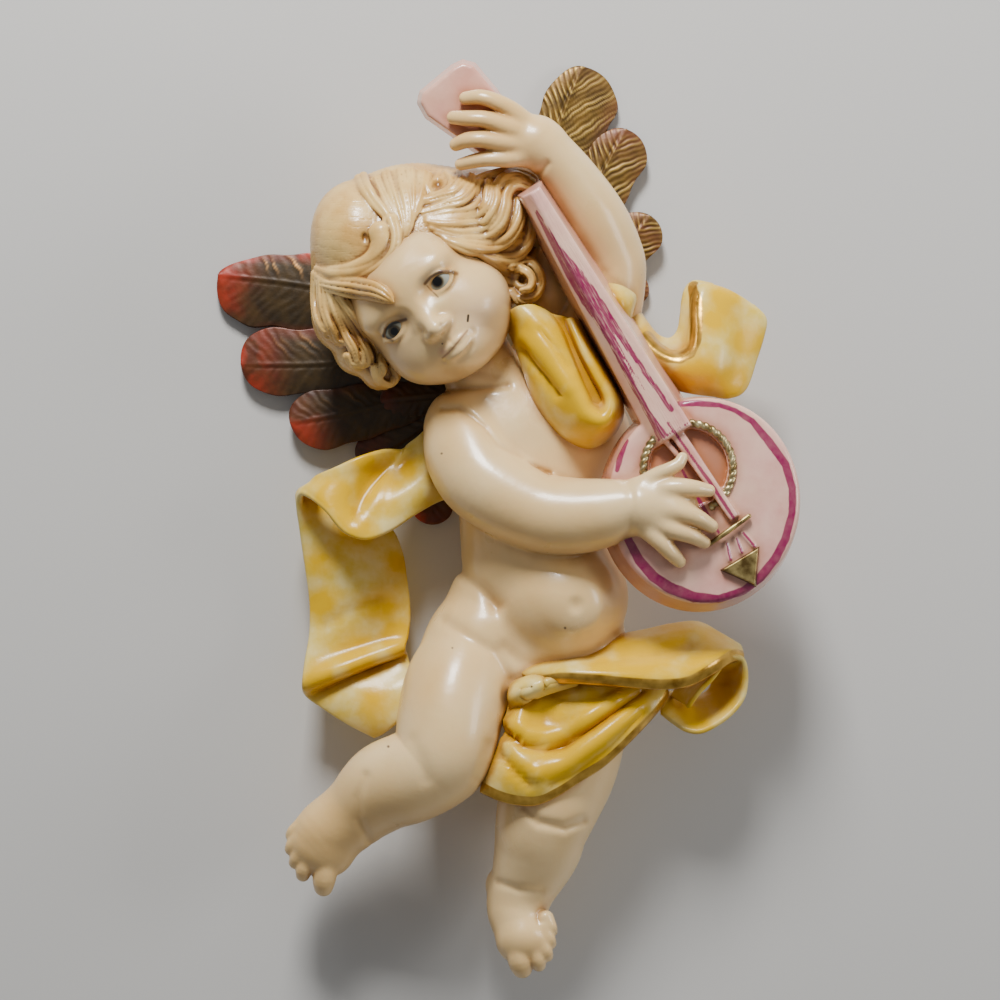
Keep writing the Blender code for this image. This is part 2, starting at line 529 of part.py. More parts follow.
def main():
    for obj in list(bpy.data.objects):
        bpy.data.objects.remove(obj)
    make_figure()
    make_wing("wing_left", LEFT_FEATHERS, [((-42, 12), (24, 20, 8)), ((-24, 4), (16, 14, 8))],
              WING_ROOT_LEFT - ROOT_GAP, REACH, REACH)
    make_wing("wing_right", RIGHT_FEATHERS, [((20, 38), (13, 24, 8)), ((24, 20), (14, 10, 8))],
              -REACH, WING_ROOT_RIGHT + ROOT_GAP, SPINE_PAD_TOP + ROOT_GAP)


main()
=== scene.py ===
import math
import time

import bmesh
import bpy
import numpy as np
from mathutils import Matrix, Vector


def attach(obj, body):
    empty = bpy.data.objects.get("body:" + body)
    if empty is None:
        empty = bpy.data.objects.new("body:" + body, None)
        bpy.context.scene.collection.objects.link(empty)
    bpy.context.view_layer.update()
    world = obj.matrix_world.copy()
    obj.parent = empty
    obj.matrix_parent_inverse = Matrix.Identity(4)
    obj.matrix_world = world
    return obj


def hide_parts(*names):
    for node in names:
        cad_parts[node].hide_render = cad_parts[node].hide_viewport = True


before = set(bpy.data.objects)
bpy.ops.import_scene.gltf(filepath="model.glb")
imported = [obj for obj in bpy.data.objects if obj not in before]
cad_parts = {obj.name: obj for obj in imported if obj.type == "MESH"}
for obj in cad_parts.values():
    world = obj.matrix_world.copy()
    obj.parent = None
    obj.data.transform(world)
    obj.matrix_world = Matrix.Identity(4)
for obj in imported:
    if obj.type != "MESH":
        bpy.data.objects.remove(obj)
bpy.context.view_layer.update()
startTime = time.time()

# The front drawing is in millimetres: across and up on the wall plane as the camera sees it, out towards it.
mm = 0.001
view = {"distance": 650.0, "across": -13.1, "up": -37.5, "lens": 62.4, "sensor": 36.0}
cells = {"body": 0.62, "face": 0.46, "hair": 0.408, "banjo": 0.69}  # cell of each clay
mostTriangles = 190000  # for one piece

made = {}  # every modelled piece, by name


def report(stage):
    print(f"{stage}: {time.time() - startTime:.0f} s")


def toTrue(points):
    points = np.asarray(points, float)
    share = (view["distance"] - points[:, 2]) / view["distance"]
    across = view["across"] + (points[:, 0] - view["across"]) * share
    up = view["up"] + (points[:, 1] - view["up"]) * share
    return np.column_stack([across, -points[:, 2], up]) * mm


def smoothPath(rows, steps=4):
    rows = np.array(rows, float)
    rows = np.vstack([2 * rows[0] - rows[1], rows, 2 * rows[-1] - rows[-2]])
    found = []
    for i in range(1, len(rows) - 2):
        a, b, c, d = rows[i - 1 : i + 3]
        for t in np.arange(steps) / steps:
            found.append(
                0.5 * (2 * b + (c - a) * t + (2 * a - 5 * b + 4 * c - d) * t**2
                       + (3 * b - a - 3 * c + d) * t**3)
            )
    found.append(rows[-2])
    return np.array(found)


# Clay: forms are blended in a field of distances, and its zero surface becomes a mesh.
class Clay:
    def __init__(self, low, high, cell):
        self.low = np.array(low, float)
        self.cell = cell
        self.count = np.ceil((np.array(high, float) - self.low) / cell).astype(int) + 1
        self.field = np.full(self.count, 40.0, np.float32)

    def block(self, low, high, margin):
        first = np.floor((np.array(low) - margin - self.low) / self.cell).astype(int)
        last = np.ceil((np.array(high) + margin - self.low) / self.cell).astype(int) + 1
        first, last = np.maximum(first, 0), np.minimum(last, self.count)
        if (last <= first).any():
            return None, None
        axes = [
            (self.low[k] + self.cell * np.arange(first[k], last[k])).astype(np.float32)
            for k in range(3)
        ]
        where = tuple(slice(a, b) for a, b in zip(first, last))
        return where, (axes[0][:, None, None], axes[1][None, :, None], axes[2][None, None, :])

    def grid(self):
        across, up, out = (self.low[k] + self.cell * np.arange(self.count[k]) for k in range(3))
        return across[:, None, None], up[None, :, None], out[None, None, :]

    # nothing stays nearer the wall than the floor
    def cutBelow(self, floor):
        self.field[:] = np.maximum(self.field, (floor - self.grid()[2]).astype(np.float32))

    def join(self, where, new, soft):
        old = self.field[where]
        close = np.maximum(soft - np.abs(old - new), 0) / soft
        self.field[where] = np.minimum(old, new) - close * close * soft / 4

    def carve(self, where, new, soft):
        old = self.field[where]
        close = np.maximum(soft - np.abs(old + new), 0) / soft
        self.field[where] = np.maximum(old, -new) + close * close * soft / 4

    def blend(self, where, new, soft, cut):
        if cut:
            self.carve(where, new, soft)
        else:
            self.join(where, new, soft)

    # a round limb through (across, up, out, radius) stations
    def limb(self, stations, soft=2.0, steps=4, cut=False, flat=1.0):
        rows = smoothPath(stations, steps) if len(stations) > 2 else np.array(stations, float)
        reach = rows[:, 3:4]
        where, axes = self.block(
            (rows[:, :3] - reach).min(0), (rows[:, :3] + reach).max(0), soft + 2 * self.cell
        )
        if where is None:
            return
        found = None
        for start, end in zip(rows[:-1], rows[1:]):
            along = end[:3] - start[:3]
            length = max(float(along @ along), 1e-9)
            part = [axes[k] - np.float32(start[k]) for k in range(3)]
            t = np.clip(sum(part[k] * np.float32(along[k] / length) for k in range(3)), 0, 1)
            gap = [part[k] - t * np.float32(along[k]) for k in range(3)]
            gap[2] = gap[2] / np.float32(flat)
            far = np.sqrt(gap[0] ** 2 + gap[1] ** 2 + gap[2] ** 2)
            far -= np.float32(start[3]) + t * np.float32(end[3] - start[3])
            found = far if found is None else np.minimum(found, far)
        self.blend(where, found, soft, cut)

    # an egg with its own axes: turn holds them as rows
    def egg(self, centre, radii, soft=2.0, turn=None, cut=False):
        turn = np.eye(3) if turn is None else np.array(turn, float)
        radii = np.array(radii, float)
        reach = np.sqrt(((turn * radii[:, None]) ** 2).sum(0))
        centre = np.array(centre, float)
        where, axes = self.block(centre - reach, centre + reach, soft + 2 * self.cell)
        if where is None:
            return
        part = [axes[k] - np.float32(centre[k]) for k in range(3)]
        near = 0
        steep = 0
        for row, radius in zip(turn, radii):
            way = sum(part[k] * np.float32(row[k]) for k in range(3))
            near = near + (way / np.float32(radius)) ** 2
            steep = steep + (way / np.float32(radius * radius)) ** 2
        near = np.sqrt(near)
        found = near * (near - 1) / np.maximum(np.sqrt(steep), 1e-6)
        self.blend(where, found, soft, cut)

    # a soft crease pressed in along a drawn line, into whatever surface lies in front of the given depth
    def crease(self, line, depth, width, nearest=14.0, furthest=90.0, band=8):
        line = np.array(line, float)
        low, high = line.min(0) - 3 * width, line.max(0) + 3 * width
        where, axes = self.block((*low, nearest), (*high, furthest), 0)
        far = None
        for a, b in zip(line[:-1], line[1:]):
            ab = (b - a).astype(np.float32)
            part = [axes[k] - np.float32(a[k]) for k in range(2)]
            t = np.clip((part[0] * ab[0] + part[1] * ab[1]) / max(float(ab @ ab), 1e-9), 0, 1)
            gap = (part[0] - t * ab[0]) ** 2 + (part[1] - t * ab[1]) ** 2
            far = gap if far is None else np.minimum(far, gap)
        press = np.float32(depth) * np.exp(-far / np.float32(width**2))
        close = np.abs(self.field[where]) < band
        self.field[where] += np.where(close, press, 0)

    def mesh(self):
        field = self.field
        inside = field < 0
        total = np.zeros(np.array(field.shape) - 1, np.int8)
        for corner in np.ndindex(2, 2, 2):
            total += inside[tuple(slice(c, size - 1 + c) for c, size in zip(corner, field.shape))]
        active = (total > 0) & (total < 8)
        number = np.full(active.shape, -1, np.int32)
        spots = np.argwhere(active)
        number[active] = np.arange(len(spots))
        sums = np.zeros((len(spots), 3))
        hits = np.zeros(len(spots))
        for axis in range(3):
            others = [k for k in range(3) if k != axis]
            for pair in np.ndindex(2, 2):
                corner = np.zeros(3, int)
                corner[others] = pair
                tip = corner.copy()
                tip[axis] = 1
                one = field[tuple((spots + corner).T)]
                two = field[tuple((spots + tip).T)]
                crossed = (one < 0) != (two < 0)
                share = one[crossed] / (one[crossed] - two[crossed])
                place = np.tile(corner.astype(float), (len(share), 1))
                place[:, axis] = share
                sums[crossed] += place
                hits[crossed] += 1
        points = self.low + self.cell * (spots + sums / hits[:, None])
        quads = []
        for axis in range(3):
            a, b = (axis + 1) % 3, (axis + 2) % 3
            low = [slice(None)] * 3
            high = [slice(None)] * 3
            low[axis], high[axis] = slice(0, -1), slice(1, None)
            edges = np.argwhere(inside[tuple(low)] != inside[tuple(high)])
            limit = np.array(active.shape)
            keep = (edges[:, a] > 0) & (edges[:, b] > 0) & (edges[:, a] < limit[a]) & (edges[:, b] < limit[b])
            edges = edges[keep]
            ring = []
            for da, db in ((-1, -1), (0, -1), (0, 0), (-1, 0)):
                cell = edges.copy()
                cell[:, a] += da
                cell[:, b] += db
                ring.append(number[tuple(cell.T)])
            quad = np.column_stack(ring)
            turned = ~inside[tuple(edges.T)]
            quad[turned] = quad[turned][:, ::-1]
            quads.append(quad[(quad >= 0).all(1)])
        return points, np.vstack(quads)


def writeAttribute(piece, name, values):
    values = np.asarray(values, np.float32)
    kind, field = ("FLOAT_VECTOR", "vector") if values.ndim == 2 else ("FLOAT", "value")
    layer = piece.data.attributes.new(name, kind, "POINT")
    layer.data.foreach_set(field, np.ascontiguousarray(values).ravel())


# a piece from points of the front drawing, which it keeps as its "seen" places for the paint
def makeMesh(name, points, quads):
    mesh = bpy.data.meshes.new(name)
    mesh.vertices.add(len(points))
    mesh.vertices.foreach_set("co", np.ascontiguousarray(toTrue(points), np.float32).ravel())
    corners = quads.shape[1]
    mesh.loops.add(quads.size)
    mesh.loops.foreach_set("vertex_index", quads.astype(np.int32).ravel())
    mesh.polygons.add(len(quads))
    mesh.polygons.foreach_set("loop_start", np.arange(0, quads.size, corners, dtype=np.int32))
    mesh.update(calc_edges=True)
    mesh.validate()
    mesh.shade_smooth()
    piece = bpy.data.objects.new(name, mesh)
    bpy.context.scene.collection.objects.link(piece)
    made[name] = piece
    writeAttribute(piece, "seen", points)
    return piece


def thinOut(piece):
    faces = sum(len(p.vertices) - 2 for p in piece.data.polygons)
    if faces <= mostTriangles:
        return
    bpy.context.view_layer.objects.active = piece
    fewer = piece.modifiers.new("thinOut", "DECIMATE")
    fewer.ratio = mostTriangles / faces
    bpy.ops.object.modifier_apply(modifier=fewer.name)
    piece.data.shade_smooth()


def closeEnds(piece):
    bm = bmesh.new()
    bm.from_mesh(piece.data)
    bmesh.ops.holes_fill(bm, edges=[edge for edge in bm.edges if edge.is_boundary])
    bmesh.ops.recalc_face_normals(bm, faces=bm.faces)
    bm.to_mesh(piece.data)
    bm.free()
    piece.data.shade_smooth()


# faces of a grid of points, of the strip between two rings, and the ring round a grid
def gridQuads(index):
    return np.stack([index[:-1, :-1], index[1:, :-1], index[1:, 1:], index[:-1, 1:]], -1).reshape(-1, 4)


def stripQuads(one, two):
    return np.stack([one, np.roll(one, -1, -1), np.roll(two, -1, -1), two], -1).reshape(-1, 4)


def borderOf(index):
    return np.concatenate([index[0, :-1], index[:-1, -1], index[-1, :0:-1], index[:0:-1, 0]])


turnOver = [0, 3, 2, 1]  # the order of corners that faces a quad the other way


# Body: the round limbs are chains of (across, up, out, radius), and the trunk is eggs.
body = {
    "eggs": [
        # centre, radii, softness
        ((-8, -15, 22), (31, 25, 25), 6),
        ((12, -14, 22), (24, 22, 21), 8),
        ((0, -42, 23), (28.5, 32, 25), 9),
        ((0, -2, 8), (13, 30, 14), 6),
        ((-4, -92, 23), (37, 23, 22), 8),
        ((-6, -101, 30), (12, 12, 14), 4),
        ((-20, -87, 24), (17, 16, 21), 7),
        ((-14, -72, 23), (17.2, 13, 17.5), 6),
        ((5, 44, 22), (12, 17, 12), 5),
        ((2, -60, 25), (28.5, 24, 25), 7),
        ((8.5, -74, 28), (26.5, 25.8, 27), 3.2),
    ],
    "neck": [(-14, -4, 24, 17), (-21, 13, 29, 14), (-30, 26, 33, 16)],
    "shoulders": [(-24, -9, 27, 15.5), (0, 0, 20, 19), (18, 14, 24, 15)],
    "rightArm": [
        (-25.6, -11, 32, 16.2), (-24, -21, 38, 17), (-17.4, -31.4, 44.6, 16.2), (1, -41.5, 50, 15),
        (14, -43.5, 52.5, 14.4), (25, -42.5, 55, 13), (34.5, -40.5, 57.5, 10.8), (39, -40, 59, 10),
    ],
    "leftArm": [
        (17, 15, 26, 15), (25, 30, 26, 14), (29.5, 47, 29, 12.2), (28, 56, 31, 12.2), (22, 69, 36, 12),
        (13, 83, 41, 10.6), (4.5, 94, 45, 9.2), (1, 98, 46, 8.6),
    ],
    "rightLeg": [
        (-20.5, -92, 24, 17.5), (-28, -106, 33, 20.2), (-31.6, -118, 40, 19.8), (-34, -131, 44, 18.8),
        (-38, -137, 44, 17.4), (-47, -141.5, 41.5, 17.4), (-56, -145, 38, 16.6), (-65, -152.5, 33.5, 13.8),
        (-71, -158, 31, 12),
    ],
    "leftLeg": [
        (14, -98, 22, 21), (13.5, -118, 22, 21.5), (10, -136, 26.5, 21.2), (5.5, -150, 31, 19.3),
        (2.5, -160, 31, 17.4), (1, -168, 28.5, 16.2), (-3, -179, 25.5, 13.2), (-6.6, -187.5, 24, 10.6),
        (-7, -191, 24, 10.2),
    ],
}
bodyClay = {"low": (-100, -222, -2), "high": (76, 122, 76)}
# softness of the joint and fineness of the bend, in the order in which the limbs are put on
limbs = {
    "shoulders": (7, 24), "neck": (5, 24), "leftLeg": (6, 11), "rightLeg": (5, 11), "leftArm": (4, 9),
    "rightArm": (2.4, 9),
}
softness = {"palm": 3, "thumb": 2.2, "finger": 1.5, "sole": 4, "ball": 4, "heel": 3, "toe": 0.9}
palmFlat = 0.72
rightHand = {
    "palm": [(38, -40, 58.6, 9.8), (45, -40.5, 60.2, 11), (51.5, -41, 61.2, 10)],
    "thumb": [(40, -33, 60.6, 4.4), (45.5, -28.5, 62.6, 3.2), (50.5, -26, 64.1, 2.7),
              (53.8, -24, 64.1, 2.4), (55.3, -21.6, 63.6, 2.1)],
    "fingers": [
        [(45, -34.5, 61.6, 4.91), (51.5, -33, 64.1, 4.09), (59, -33.2, 65.1, 3.39), (65.2, -34, 63.1, 2.46)],
        [(46, -40, 62.1, 4.91), (53, -41.5, 65.1, 4.21), (60.4, -44, 65.1, 3.39), (66.2, -47.4, 62.6, 2.57)],
        [(45.5, -45, 62.1, 4.91), (52, -48.5, 64.6, 3.86), (58.6, -50.8, 64.1, 3.16),
         (63.5, -53.4, 61.6, 2.46)],
        [(43, -48, 61.1, 4.91), (47.4, -53, 63.1, 3.74), (50.8, -57, 62.6, 3.16), (54.2, -60.6, 60.6, 2.46)],
    ],
}
leftHand = {
    "palm": [(2, 96, 46, 9), (-3.5, 97, 47, 9.6), (-7, 97.5, 47.5, 8.6)],
    "fingers": [
        [(-4, 103.5, 48, 4.68), (-9, 108.5, 50.5, 3.74), (-15, 112, 52.5, 3.16), (-20.5, 113.6, 52.5, 2.92),
         (-26, 113.1, 50.5, 2.57)],
        [(-5, 100, 49, 4.68), (-11.5, 102.7, 52.5, 3.74), (-18.5, 105.2, 54, 3.28),
         (-25, 105.6, 53.5, 3.04), (-30.6, 105.9, 51, 2.57)],
        [(-5, 96, 48.5, 4.68), (-12, 96.6, 52.5, 3.74), (-20, 97.8, 54, 3.28), (-25.5, 97.4, 53, 3.04),
         (-29.6, 95.8, 50.5, 2.57)],
        [(-4.5, 92, 48, 4.45), (-10.5, 90.6, 51.5, 3.51), (-17, 90.5, 52.5, 3.04),
         (-22.5, 89.7, 51.5, 2.81), (-27.8, 88.4, 49.5, 2.34)],
    ],
}
rightFoot = {
    "sole": [(-70, -157, 31, 11.8), (-77.5, -161.5, 30.5, 12.2), (-82, -166, 30, 10.5)],
    "ball": ((-78, -170, 30), (10, 9, 9)),
    "toes": [
        [(-78, -172, 33, 5), (-79, -179.5, 33, 4.4), (-79.3, -182.6, 31.5, 3.6)],
        [(-83, -169, 33, 4.2), (-86.4, -175.5, 33, 3.2), (-87, -178, 31.5, 2.7)],
        [(-85, -166, 33, 4), (-88.6, -171, 33, 3.1), (-89.8, -173.4, 31.5, 2.6)],
        [(-86, -162.5, 32.5, 4), (-90.2, -166.4, 32.5, 3), (-91.4, -168.4, 31.5, 2.5)],
        [(-85.5, -159, 32, 4), (-89.8, -161.6, 32, 2.9), (-91.2, -163.2, 31, 2.4)],
    ],
}
leftFoot = {
    "sole": [(-6.6, -188, 24, 10.4), (-6, -195, 26.5, 10.2), (-5, -202, 29.5, 9.6)],
    "ball": ((-3, -203, 31), (9, 7.5, 7.5)),
    "heel": ((-13, -181.5, 19), (5.5, 6, 6.5)),
    "toes": [
        [(-6.5, -204.4, 33, 4.8), (-5.6, -210.4, 34, 4.5), (-4.8, -213.1, 32.5, 3.8)],
        [(-1.5, -203.5, 34, 3.6), (0.8, -209.6, 34.5, 3.1), (1.5, -211.8, 33, 2.6)],
        [(1, -201, 34, 3.5), (3.6, -206.4, 34.5, 2.9), (4.4, -208.3, 33, 2.5)],
        [(3, -198, 33.5, 3.3), (5, -202.2, 34, 2.7), (5.8, -203.8, 32.5, 2.3)],
        [(4, -194.5, 33, 3.2), (5.8, -197.8, 33.5, 2.5), (6.4, -199.2, 32, 2.1)],
    ],
}


def makeBody():
    clay = Clay(bodyClay["low"], bodyClay["high"], cells["body"])
    for centre, radii, soft in body["eggs"]:
        clay.egg(centre, radii, soft)
    for name, (soft, steps) in limbs.items():
        clay.limb(body[name], soft, steps)
    for hand in (rightHand, leftHand):
        addHand(clay, hand)
    for foot in (rightFoot, leftFoot):
        addFoot(clay, foot)
    addBodyMarks(clay)
    cutBack(clay)
    finishClay(clay, "bodyCasting")


def finishClay(clay, name):
    points, quads = clay.mesh()
    thinOut(makeMesh(name, points, quads))
    report(f"{name}, {len(quads)} faces of clay")


def addHand(clay, hand):
    clay.limb(hand["palm"], softness["palm"], flat=palmFlat)
    if "thumb" in hand:
        clay.limb(hand["thumb"], softness["thumb"])
    for finger in hand["fingers"]:
        clay.limb(finger, softness["finger"])


def addFoot(clay, foot):
    clay.limb(foot["sole"], softness["sole"])
    for name in ("ball", "heel"):
        if name in foot:
            clay.egg(*foot[name], softness[name])
    for toe in foot["toes"]:
        clay.limb(toe, softness["toe"])


bodyMarks = {
    # centre, radii, softness
    "navelMound": ((15.6, -77, 50.5), (9, 9, 3.6), 6),
    "navel": ((15.6, -77, 57.2), (2.4, 2.6, 2.2), 2.6),
    # line, depth, width
    "creases": [
        ([(-31, -60), (-25.3, -66.8), (-19.6, -71), (-13.8, -77.2)], 1.3, 2.6),
        ([(-11.4, -93), (-5.7, -98), (4.4, -100.4), (13, -99), (22, -95), (29.5, -88)], 0.9, 3.0),
        ([(-36, 3.3), (-28, 4), (-18, 4.7), (-10, 5.4)], 1.1, 1.5),
        ([(34.2, -30.5), (36.4, -36), (36.6, -42), (35.4, -49), (33.4, -52)], 0.45, 1.8),
        ([(0, 81.6), (1.6, 85), (4.6, 88.6)], 0.8, 1.4),
        ([(-34.6, -3.6), (-29, -3.5), (-23.8, -6.4), (-19, -10.6), (-13.7, -17.3), (-3.7, -23.9),
          (5, -27.8)], 1.2, 1.5),
        ([(-34, -83), (-24.6, -89.2), (-15.1, -94.7), (-9.6, -104)], 0.8, 2.4),
        ([(-22, -142), (-19, -136), (-17.5, -129)], 0.9, 2.0),
        ([(-46, -128), (-43, -134), (-41, -142)], 0.5, 2.6),
        ([(-4, -153), (1.5, -158.4), (11, -160.4), (18, -158)], 1.2, 1.9),
        ([(-63.5, -141), (-66, -149), (-66, -157), (-62.5, -165)], 0.8, 1.8),
        ([(-13.5, -181), (-6, -183.5), (2, -184)], 0.7, 1.6),
        ([(-34, 20), (-26, 12), (-14, 8.6)], 0.8, 2.0),
    ],
}


def addBodyMarks(clay):
    clay.egg(*bodyMarks["navelMound"])
    clay.egg(*bodyMarks["navel"], cut=True)
    for line, depth, width in bodyMarks["creases"]:
        clay.crease(line, depth, width)


# The back is cast flat, with a pocket for each wing beside the spine pad.
back = {
    "flat": 0.05, "pocket": 9.3, "left": -14.0, "right": 13.0, "leftFloor": -62.0, "rightFloor": 8.0,
    "padTop": 34.0,
}


def cutBack(clay):
    across, up, _ = clay.grid()
    leftPocket = (across < back["left"]) & (up > back["leftFloor"])
    rightPocket = (across > back["right"]) & (up > back["rightFloor"])
    upperPocket = up > back["padTop"]
    clay.cutBelow(np.where(leftPocket | rightPocket | upperPocket, back["pocket"], back["flat"]))


# Head: its own axes, leaning over and turned a little; x to the right, y to the crown, z out of the face.
head = {"centre": (-39.0, 37.0, 38.0), "lean": 45.8, "turn": 13.0}


def headAxes():
    lean, turn = math.radians(head["lean"]), math.radians(head["turn"])
    right = np.array([math.cos(lean), math.sin(lean), 0])
    crown = np.array([-math.sin(lean), math.cos(lean), 0])
    out = np.array([0.0, 0.0, 1.0])
    return np.array([
        right * math.cos(turn) + out * math.sin(turn),
        crown,
        out * math.cos(turn) - right * math.sin(turn),
    ])


def onHead(x, y, z):
    return np.array(head["centre"]) + np.array([x, y, z]) @ headAxes()


def headRows(rows):
    return [(*onHead(*row[:3]), row[3]) for row in rows]


face = {
    # centre, radii, softness, in the head's own axes
    "eggs": [
        ((0, 8, -8), (30, 29, 28), 4),
        ((0, -3, 0), (27, 27, 25.5), 5),
        ((0, 13, 5), (22.5, 15.5, 21), 8),
        ((0, -23, 3), (16, 7, 13), 6),
    ],
    "pairs": [
        ((12.5, -11, 6.5), (13.5, 13, 15), 6),
        ((12.4, 9.5, 16.5), (9, 5, 7), 5),
    ],
    "chin": ((0, -22.6, 12.8), (8.2, 6.4, 9), 5),
    "muzzle": ((0, -16.8, 15.6), (10.5, 8.2, 9.2), 5),
    "socket": ((12.2, 2.8, 26.5), (7.8, 4.7, 4.6), 3.4),
    "eye": {"place": (12.4, 2.6, 14.4), "radius": 8.7, "bed": 8.0, "bedSoft": 0.5},
    "eyeCap": {"wide": 5.9, "high": 3.9, "lift": -0.25, "depth": 2.5, "rings": 24, "sides": 48},
    "nose": [(0, 4.5, 20.9, 2.6), (0, -1, 23.0, 2.6), (0, -5.4, 26.1, 3.0), (0, -8.0, 27.1, 3.5)],
    "wing": ((3.7, -8.9, 24.4), (2.5, 2.1, 3.2), 2.4),
    "philtrum": [(0, -12.2, 27.2, 0.6), (0, -15.2, 26.4, 0.8)],
    "upperLip": [(7.0, -18.4, 21.9, 0.4), (4, -17.6, 24.1, 0.75), (1.4, -17.1, 25.2, 0.85),
                 (0, -17.4, 25.2, 0.75)],
    "lowerLip": [(5.6, -19.8, 22.2, 0.4), (3, -20.5, 23.8, 1.1), (0, -20.8, 24.4, 1.4)],
    "mouth": [(7.4, -19.3, 23.4, 0.4), (4.4, -18.8, 25.6, 0.4), (1.6, -18.7, 27, 0.4), (0, -19.1, 27.2, 0.4)],
    "underLip": [(4, -23.6, 24.2, 0.7), (0, -24.1, 24.8, 1.0)],
    "corner": ((8.0, -19.3, 23.2), (1.0, 1.0, 1.0), 1.6),
    "upperLid": [(-5.6, 0.3), (-3.4, 2.7), (0, 3.7), (3.4, 2.6), (6.2, -0.6)],
    "lowerLid": [(-5.6, 0.3), (-3.2, -2.1), (0.2, -3.1), (3.4, -2.7), (6.2, -0.6)],
    "lids": {"upperLid": (0.1, 0.7, 1.2), "lowerLid": (-0.2, 0.6, 1.4)},  # lift, radius, softness
    "noseSoft": 3.6,
    "philtrumSoft": 1.4,
    "mouthParts": {  # softness, and whether it is cut in
        "upperLip": (1.8, False), "lowerLip": (2.2, False), "mouth": (0.6, True), "underLip": (2.4, True),
    },
}
faceClay = {"low": (-73, 4, 14), "high": (-6, 74, 72)}


def bothSides(rows):
    other = [(-row[0], *row[1:]) for row in reversed(rows) if row[0] != 0]
    return headRows(rows + other)


def lidRows(side, lid, lift, radius):
    x0, y0, z0 = face["eye"]["place"]
    rows = []
    for dx, dy in lid:
        reach = face["eye"]["radius"] + lift
        depth = math.sqrt(max(reach**2 - dx * dx - dy * dy, 1.0))
        rows.append((side * (x0 + dx), y0 + dy, z0 + depth, radius))
    return headRows(rows)


def makeFace():
    clay = Clay(faceClay["low"], faceClay["high"], cells["face"])
    axes = headAxes()
    for centre, radii, soft in face["eggs"]:
        clay.egg(onHead(*centre), radii, soft, axes)
    for side in (-1, 1):
        for (x, y, z), radii, soft in face["pairs"]:
            clay.egg(onHead(side * x, y, z), radii, soft, axes)
    for name in ("chin", "muzzle"):
        centre, radii, soft = face[name]
        clay.egg(onHead(*centre), radii, soft, axes)
    clay.limb(headRows(face["nose"]), face["noseSoft"])
    for side in (-1, 1):
        for name, cut in (("socket", True), ("wing", False), ("corner", True)):
            (x, y, z), radii, soft = face[name]
            clay.egg(onHead(side * x, y, z), radii, soft, axes, cut=cut)
        x, y, z = face["eye"]["place"]
        clay.egg(onHead(side * x, y, z), (face["eye"]["bed"],) * 3, face["eye"]["bedSoft"], axes)
        for name, (lift, radius, soft) in face["lids"].items():
            clay.limb(lidRows(side, face[name], lift, radius), soft)
    clay.limb(headRows(face["philtrum"]), face["philtrumSoft"], cut=True)
    for name, (soft, cut) in face["mouthParts"].items():
        clay.limb(bothSides(face[name]), soft, cut=cut)
    points, quads = clay.mesh()
    makeMesh("face", points, quads)
    report(f"face, {len(quads)} faces")
    for side, name in ((-1, "leftEye"), (1, "rightEye")):
        makeEye(name, side)


# an eye is a cap of a ball, as wide as the opening of the lids
def makeEye(name, side):
    x, y, z = face["eye"]["place"]
    cap = face["eyeCap"]
    radius = face["eye"]["radius"] + cap["lift"]
    rings, sides = cap["rings"], cap["sides"]
    pinhole = 0.2
    points = []
    for i in range(rings + 1):
        share = min(max(i, pinhole), rings - 1) / (rings - 1)
        for k in range(sides):
            turn = 2 * math.pi * k / sides
            dx, dy = share * cap["wide"] * math.cos(turn), share * cap["high"] * math.sin(turn)
            depth = math.sqrt(radius**2 - dx * dx - dy * dy) - (cap["depth"] if i == rings else 0)
            points.append(onHead(side * x + dx, y + dy, z + depth))
    index = np.arange(len(points)).reshape(-1, sides)
    closeEnds(makeMesh(name, np.array(points), stripQuads(index[:-1], index[1:])[:, turnOver]))


# Hair: a few round masses, and grooved locks that follow them.
hair = {
    "masses": [
        # centre, radii, softness
        ((-44, 52, 30), (40, 37, 26.5), 1),
        ((-67, 62.5, 35), (17, 20, 19.5), 4),
        ((-14, 67, 34), (15.5, 18.5, 17), 5),
        ((-30, 73, 36), (14, 13, 15), 5),
        ((-11, 79, 37), (13, 7.4, 10), 3),
        ((-23, 77, 35), (11, 9.4, 12), 4),
        ((-66, 20, 30), (10, 11, 12), 3),
        ((-58, 11, 30), (7.5, 7.5, 10), 3),
        ((-75, 33, 30), (9, 14, 13), 3),
        ((-4, 44.5, 34), (6.5, 8.5, 10), 3),
    ],
    "hollows": [
        ((-36.4, 81.5, 50), (2.6, 3.0, 5)), ((-63.8, 61.0, 56.6), (1.2, 2.0, 3.0)),
        ((-5.0, 45.2, 46), (1.8, 2.0, 6)),
    ],
    "hollowSoft": 1.5,
    # beside the end of the roll, opened again over the locks
    "pit": ((-63.8, 61.0, 56.6), (1.2, 2.0, 3.0), 0.8),
    "lifts": {"swept": 0.6, "crest": 0.4, "curl": 2.2, "top": 0.4, "roll": 1.3, "fringe": 2.0, "side": 1.2},
    "overFace": {"roll": "full", "fringe": "full", "top": "full", "swept": "root"},
    "swell": {"fringe": 2.3},
    "nearest": 34.0,  # no lock lies deeper than this
    "brow": (30.5, 30.5, 27.5),  # radii of the round head under the locks that lie over the face
}
hairClay = {"low": (-90, 0, 9), "high": (9, 93, 68)}
